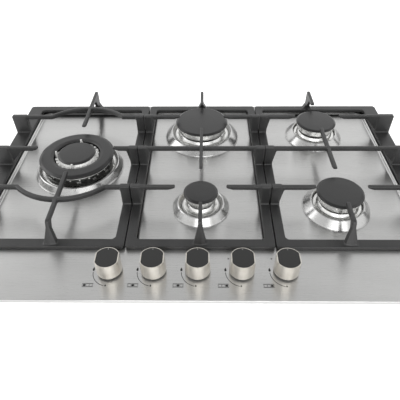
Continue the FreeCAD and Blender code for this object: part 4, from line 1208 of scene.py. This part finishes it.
class CooktopFittings(bpy.types.Operator):
    """Finish the probes, screws, seals, valves, pipes, box and other solid fittings."""

    bl_idname = "cooktop.finish_fittings"
    bl_label = "Fittings"

    def execute(self, context):
        turned_steel = plain_surface("turned_steel", "B4B4B2", "C8C8C6", 0.8, 0.3, 1.0)
        zinc = plain_surface("galvanised_sheet", "A3A7A9", "B9BDBF", 18, 0.42, 1.0, 0.2)
        brass = plain_surface("machined_brass", "C29A4B", "D3AC5C", 1.5, 0.28, 1.0)
        tube = plain_surface("drawn_aluminium", "C5C6C7", "D6D7D8", 2.0, 0.3, 1.0)
        ceramic = plain_surface("alumina_ceramic", "E3DFD5", "EFECE4", 1.2, 0.25)
        rubber = plain_surface("black_rubber", "171717", "1F1F1F", 0.8, 0.75,
                               bump_strength=0.3)
        plastic = plain_surface("moulded_black_plastic", "1B1B1C", "242425", 0.9, 0.5,
                                bump_strength=0.25)
        silicone = plain_surface("red_silicone", "8E231A", "9C2C22", 1.5, 0.5)
        finishes = {
            turned_steel: ["burner_screws", "clamp_screws", "gas_rail", "flame_sensors",
                           *[f"valve_spindle_{number}" for number in KNOBS]],
            zinc: ["lower_box", "worktop_clamps"],
            brass: ["gas_valves", "gas_injectors", "gas_inlet_elbow"],
            tube: ["feed_pipes"],
            ceramic: ["spark_electrodes"],
            rubber: ["worktop_seal", "knob_seals", "cable_grommet", "support_feet_left",
                     "support_feet_centre", "support_feet_right"],
            plastic: ["ignition_module"],
            silicone: ["spark_leads"],
        }
        for material, names in finishes.items():
            for name in names:
                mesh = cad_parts[name].data
                mesh.materials.clear()
                mesh.materials.append(material)
        return {"FINISHED"}


# ---- panel, registration and run ----

OPERATORS = (CooktopStage, CooktopSteelTop, CooktopBurners, CooktopPanSupports,
             CooktopKnobs, CooktopMarks, CooktopFittings)


class CooktopPanel(bpy.types.Panel):
    """Sidebar panel with the sizes, colours and steps of the cooktop."""

    bl_idname = "VIEW3D_PT_cooktop"
    bl_label = "Gas cooktop"
    bl_space_type = "VIEW_3D"
    bl_region_type = "UI"
    bl_category = "Cooktop"

    def draw(self, context):
        layout = self.layout
        for group in (context.scene.cooktop_sizes, context.scene.cooktop_colours):
            for name in group.__annotations__:
                layout.prop(group, name)
        for operator in OPERATORS:
            layout.operator(operator.bl_idname)


CLASSES = (CooktopSizes, CooktopColours, *OPERATORS, CooktopPanel)


def register():
    for cls in CLASSES:
        bpy.utils.register_class(cls)
    bpy.types.Scene.cooktop_sizes = bpy.props.PointerProperty(type=CooktopSizes)
    bpy.types.Scene.cooktop_colours = bpy.props.PointerProperty(type=CooktopColours)


def unregister():
    del bpy.types.Scene.cooktop_sizes
    del bpy.types.Scene.cooktop_colours
    for cls in reversed(CLASSES):
        bpy.utils.unregister_class(cls)


def main():
    register()
    bpy.ops.cooktop.make_stage()
    bpy.ops.cooktop.make_steel_top()
    bpy.ops.cooktop.make_burners()
    bpy.ops.cooktop.make_pan_supports()
    bpy.ops.cooktop.make_knobs()
    bpy.ops.cooktop.make_marks()
    bpy.ops.cooktop.finish_fittings()


if __name__ == "__main__":
    main()
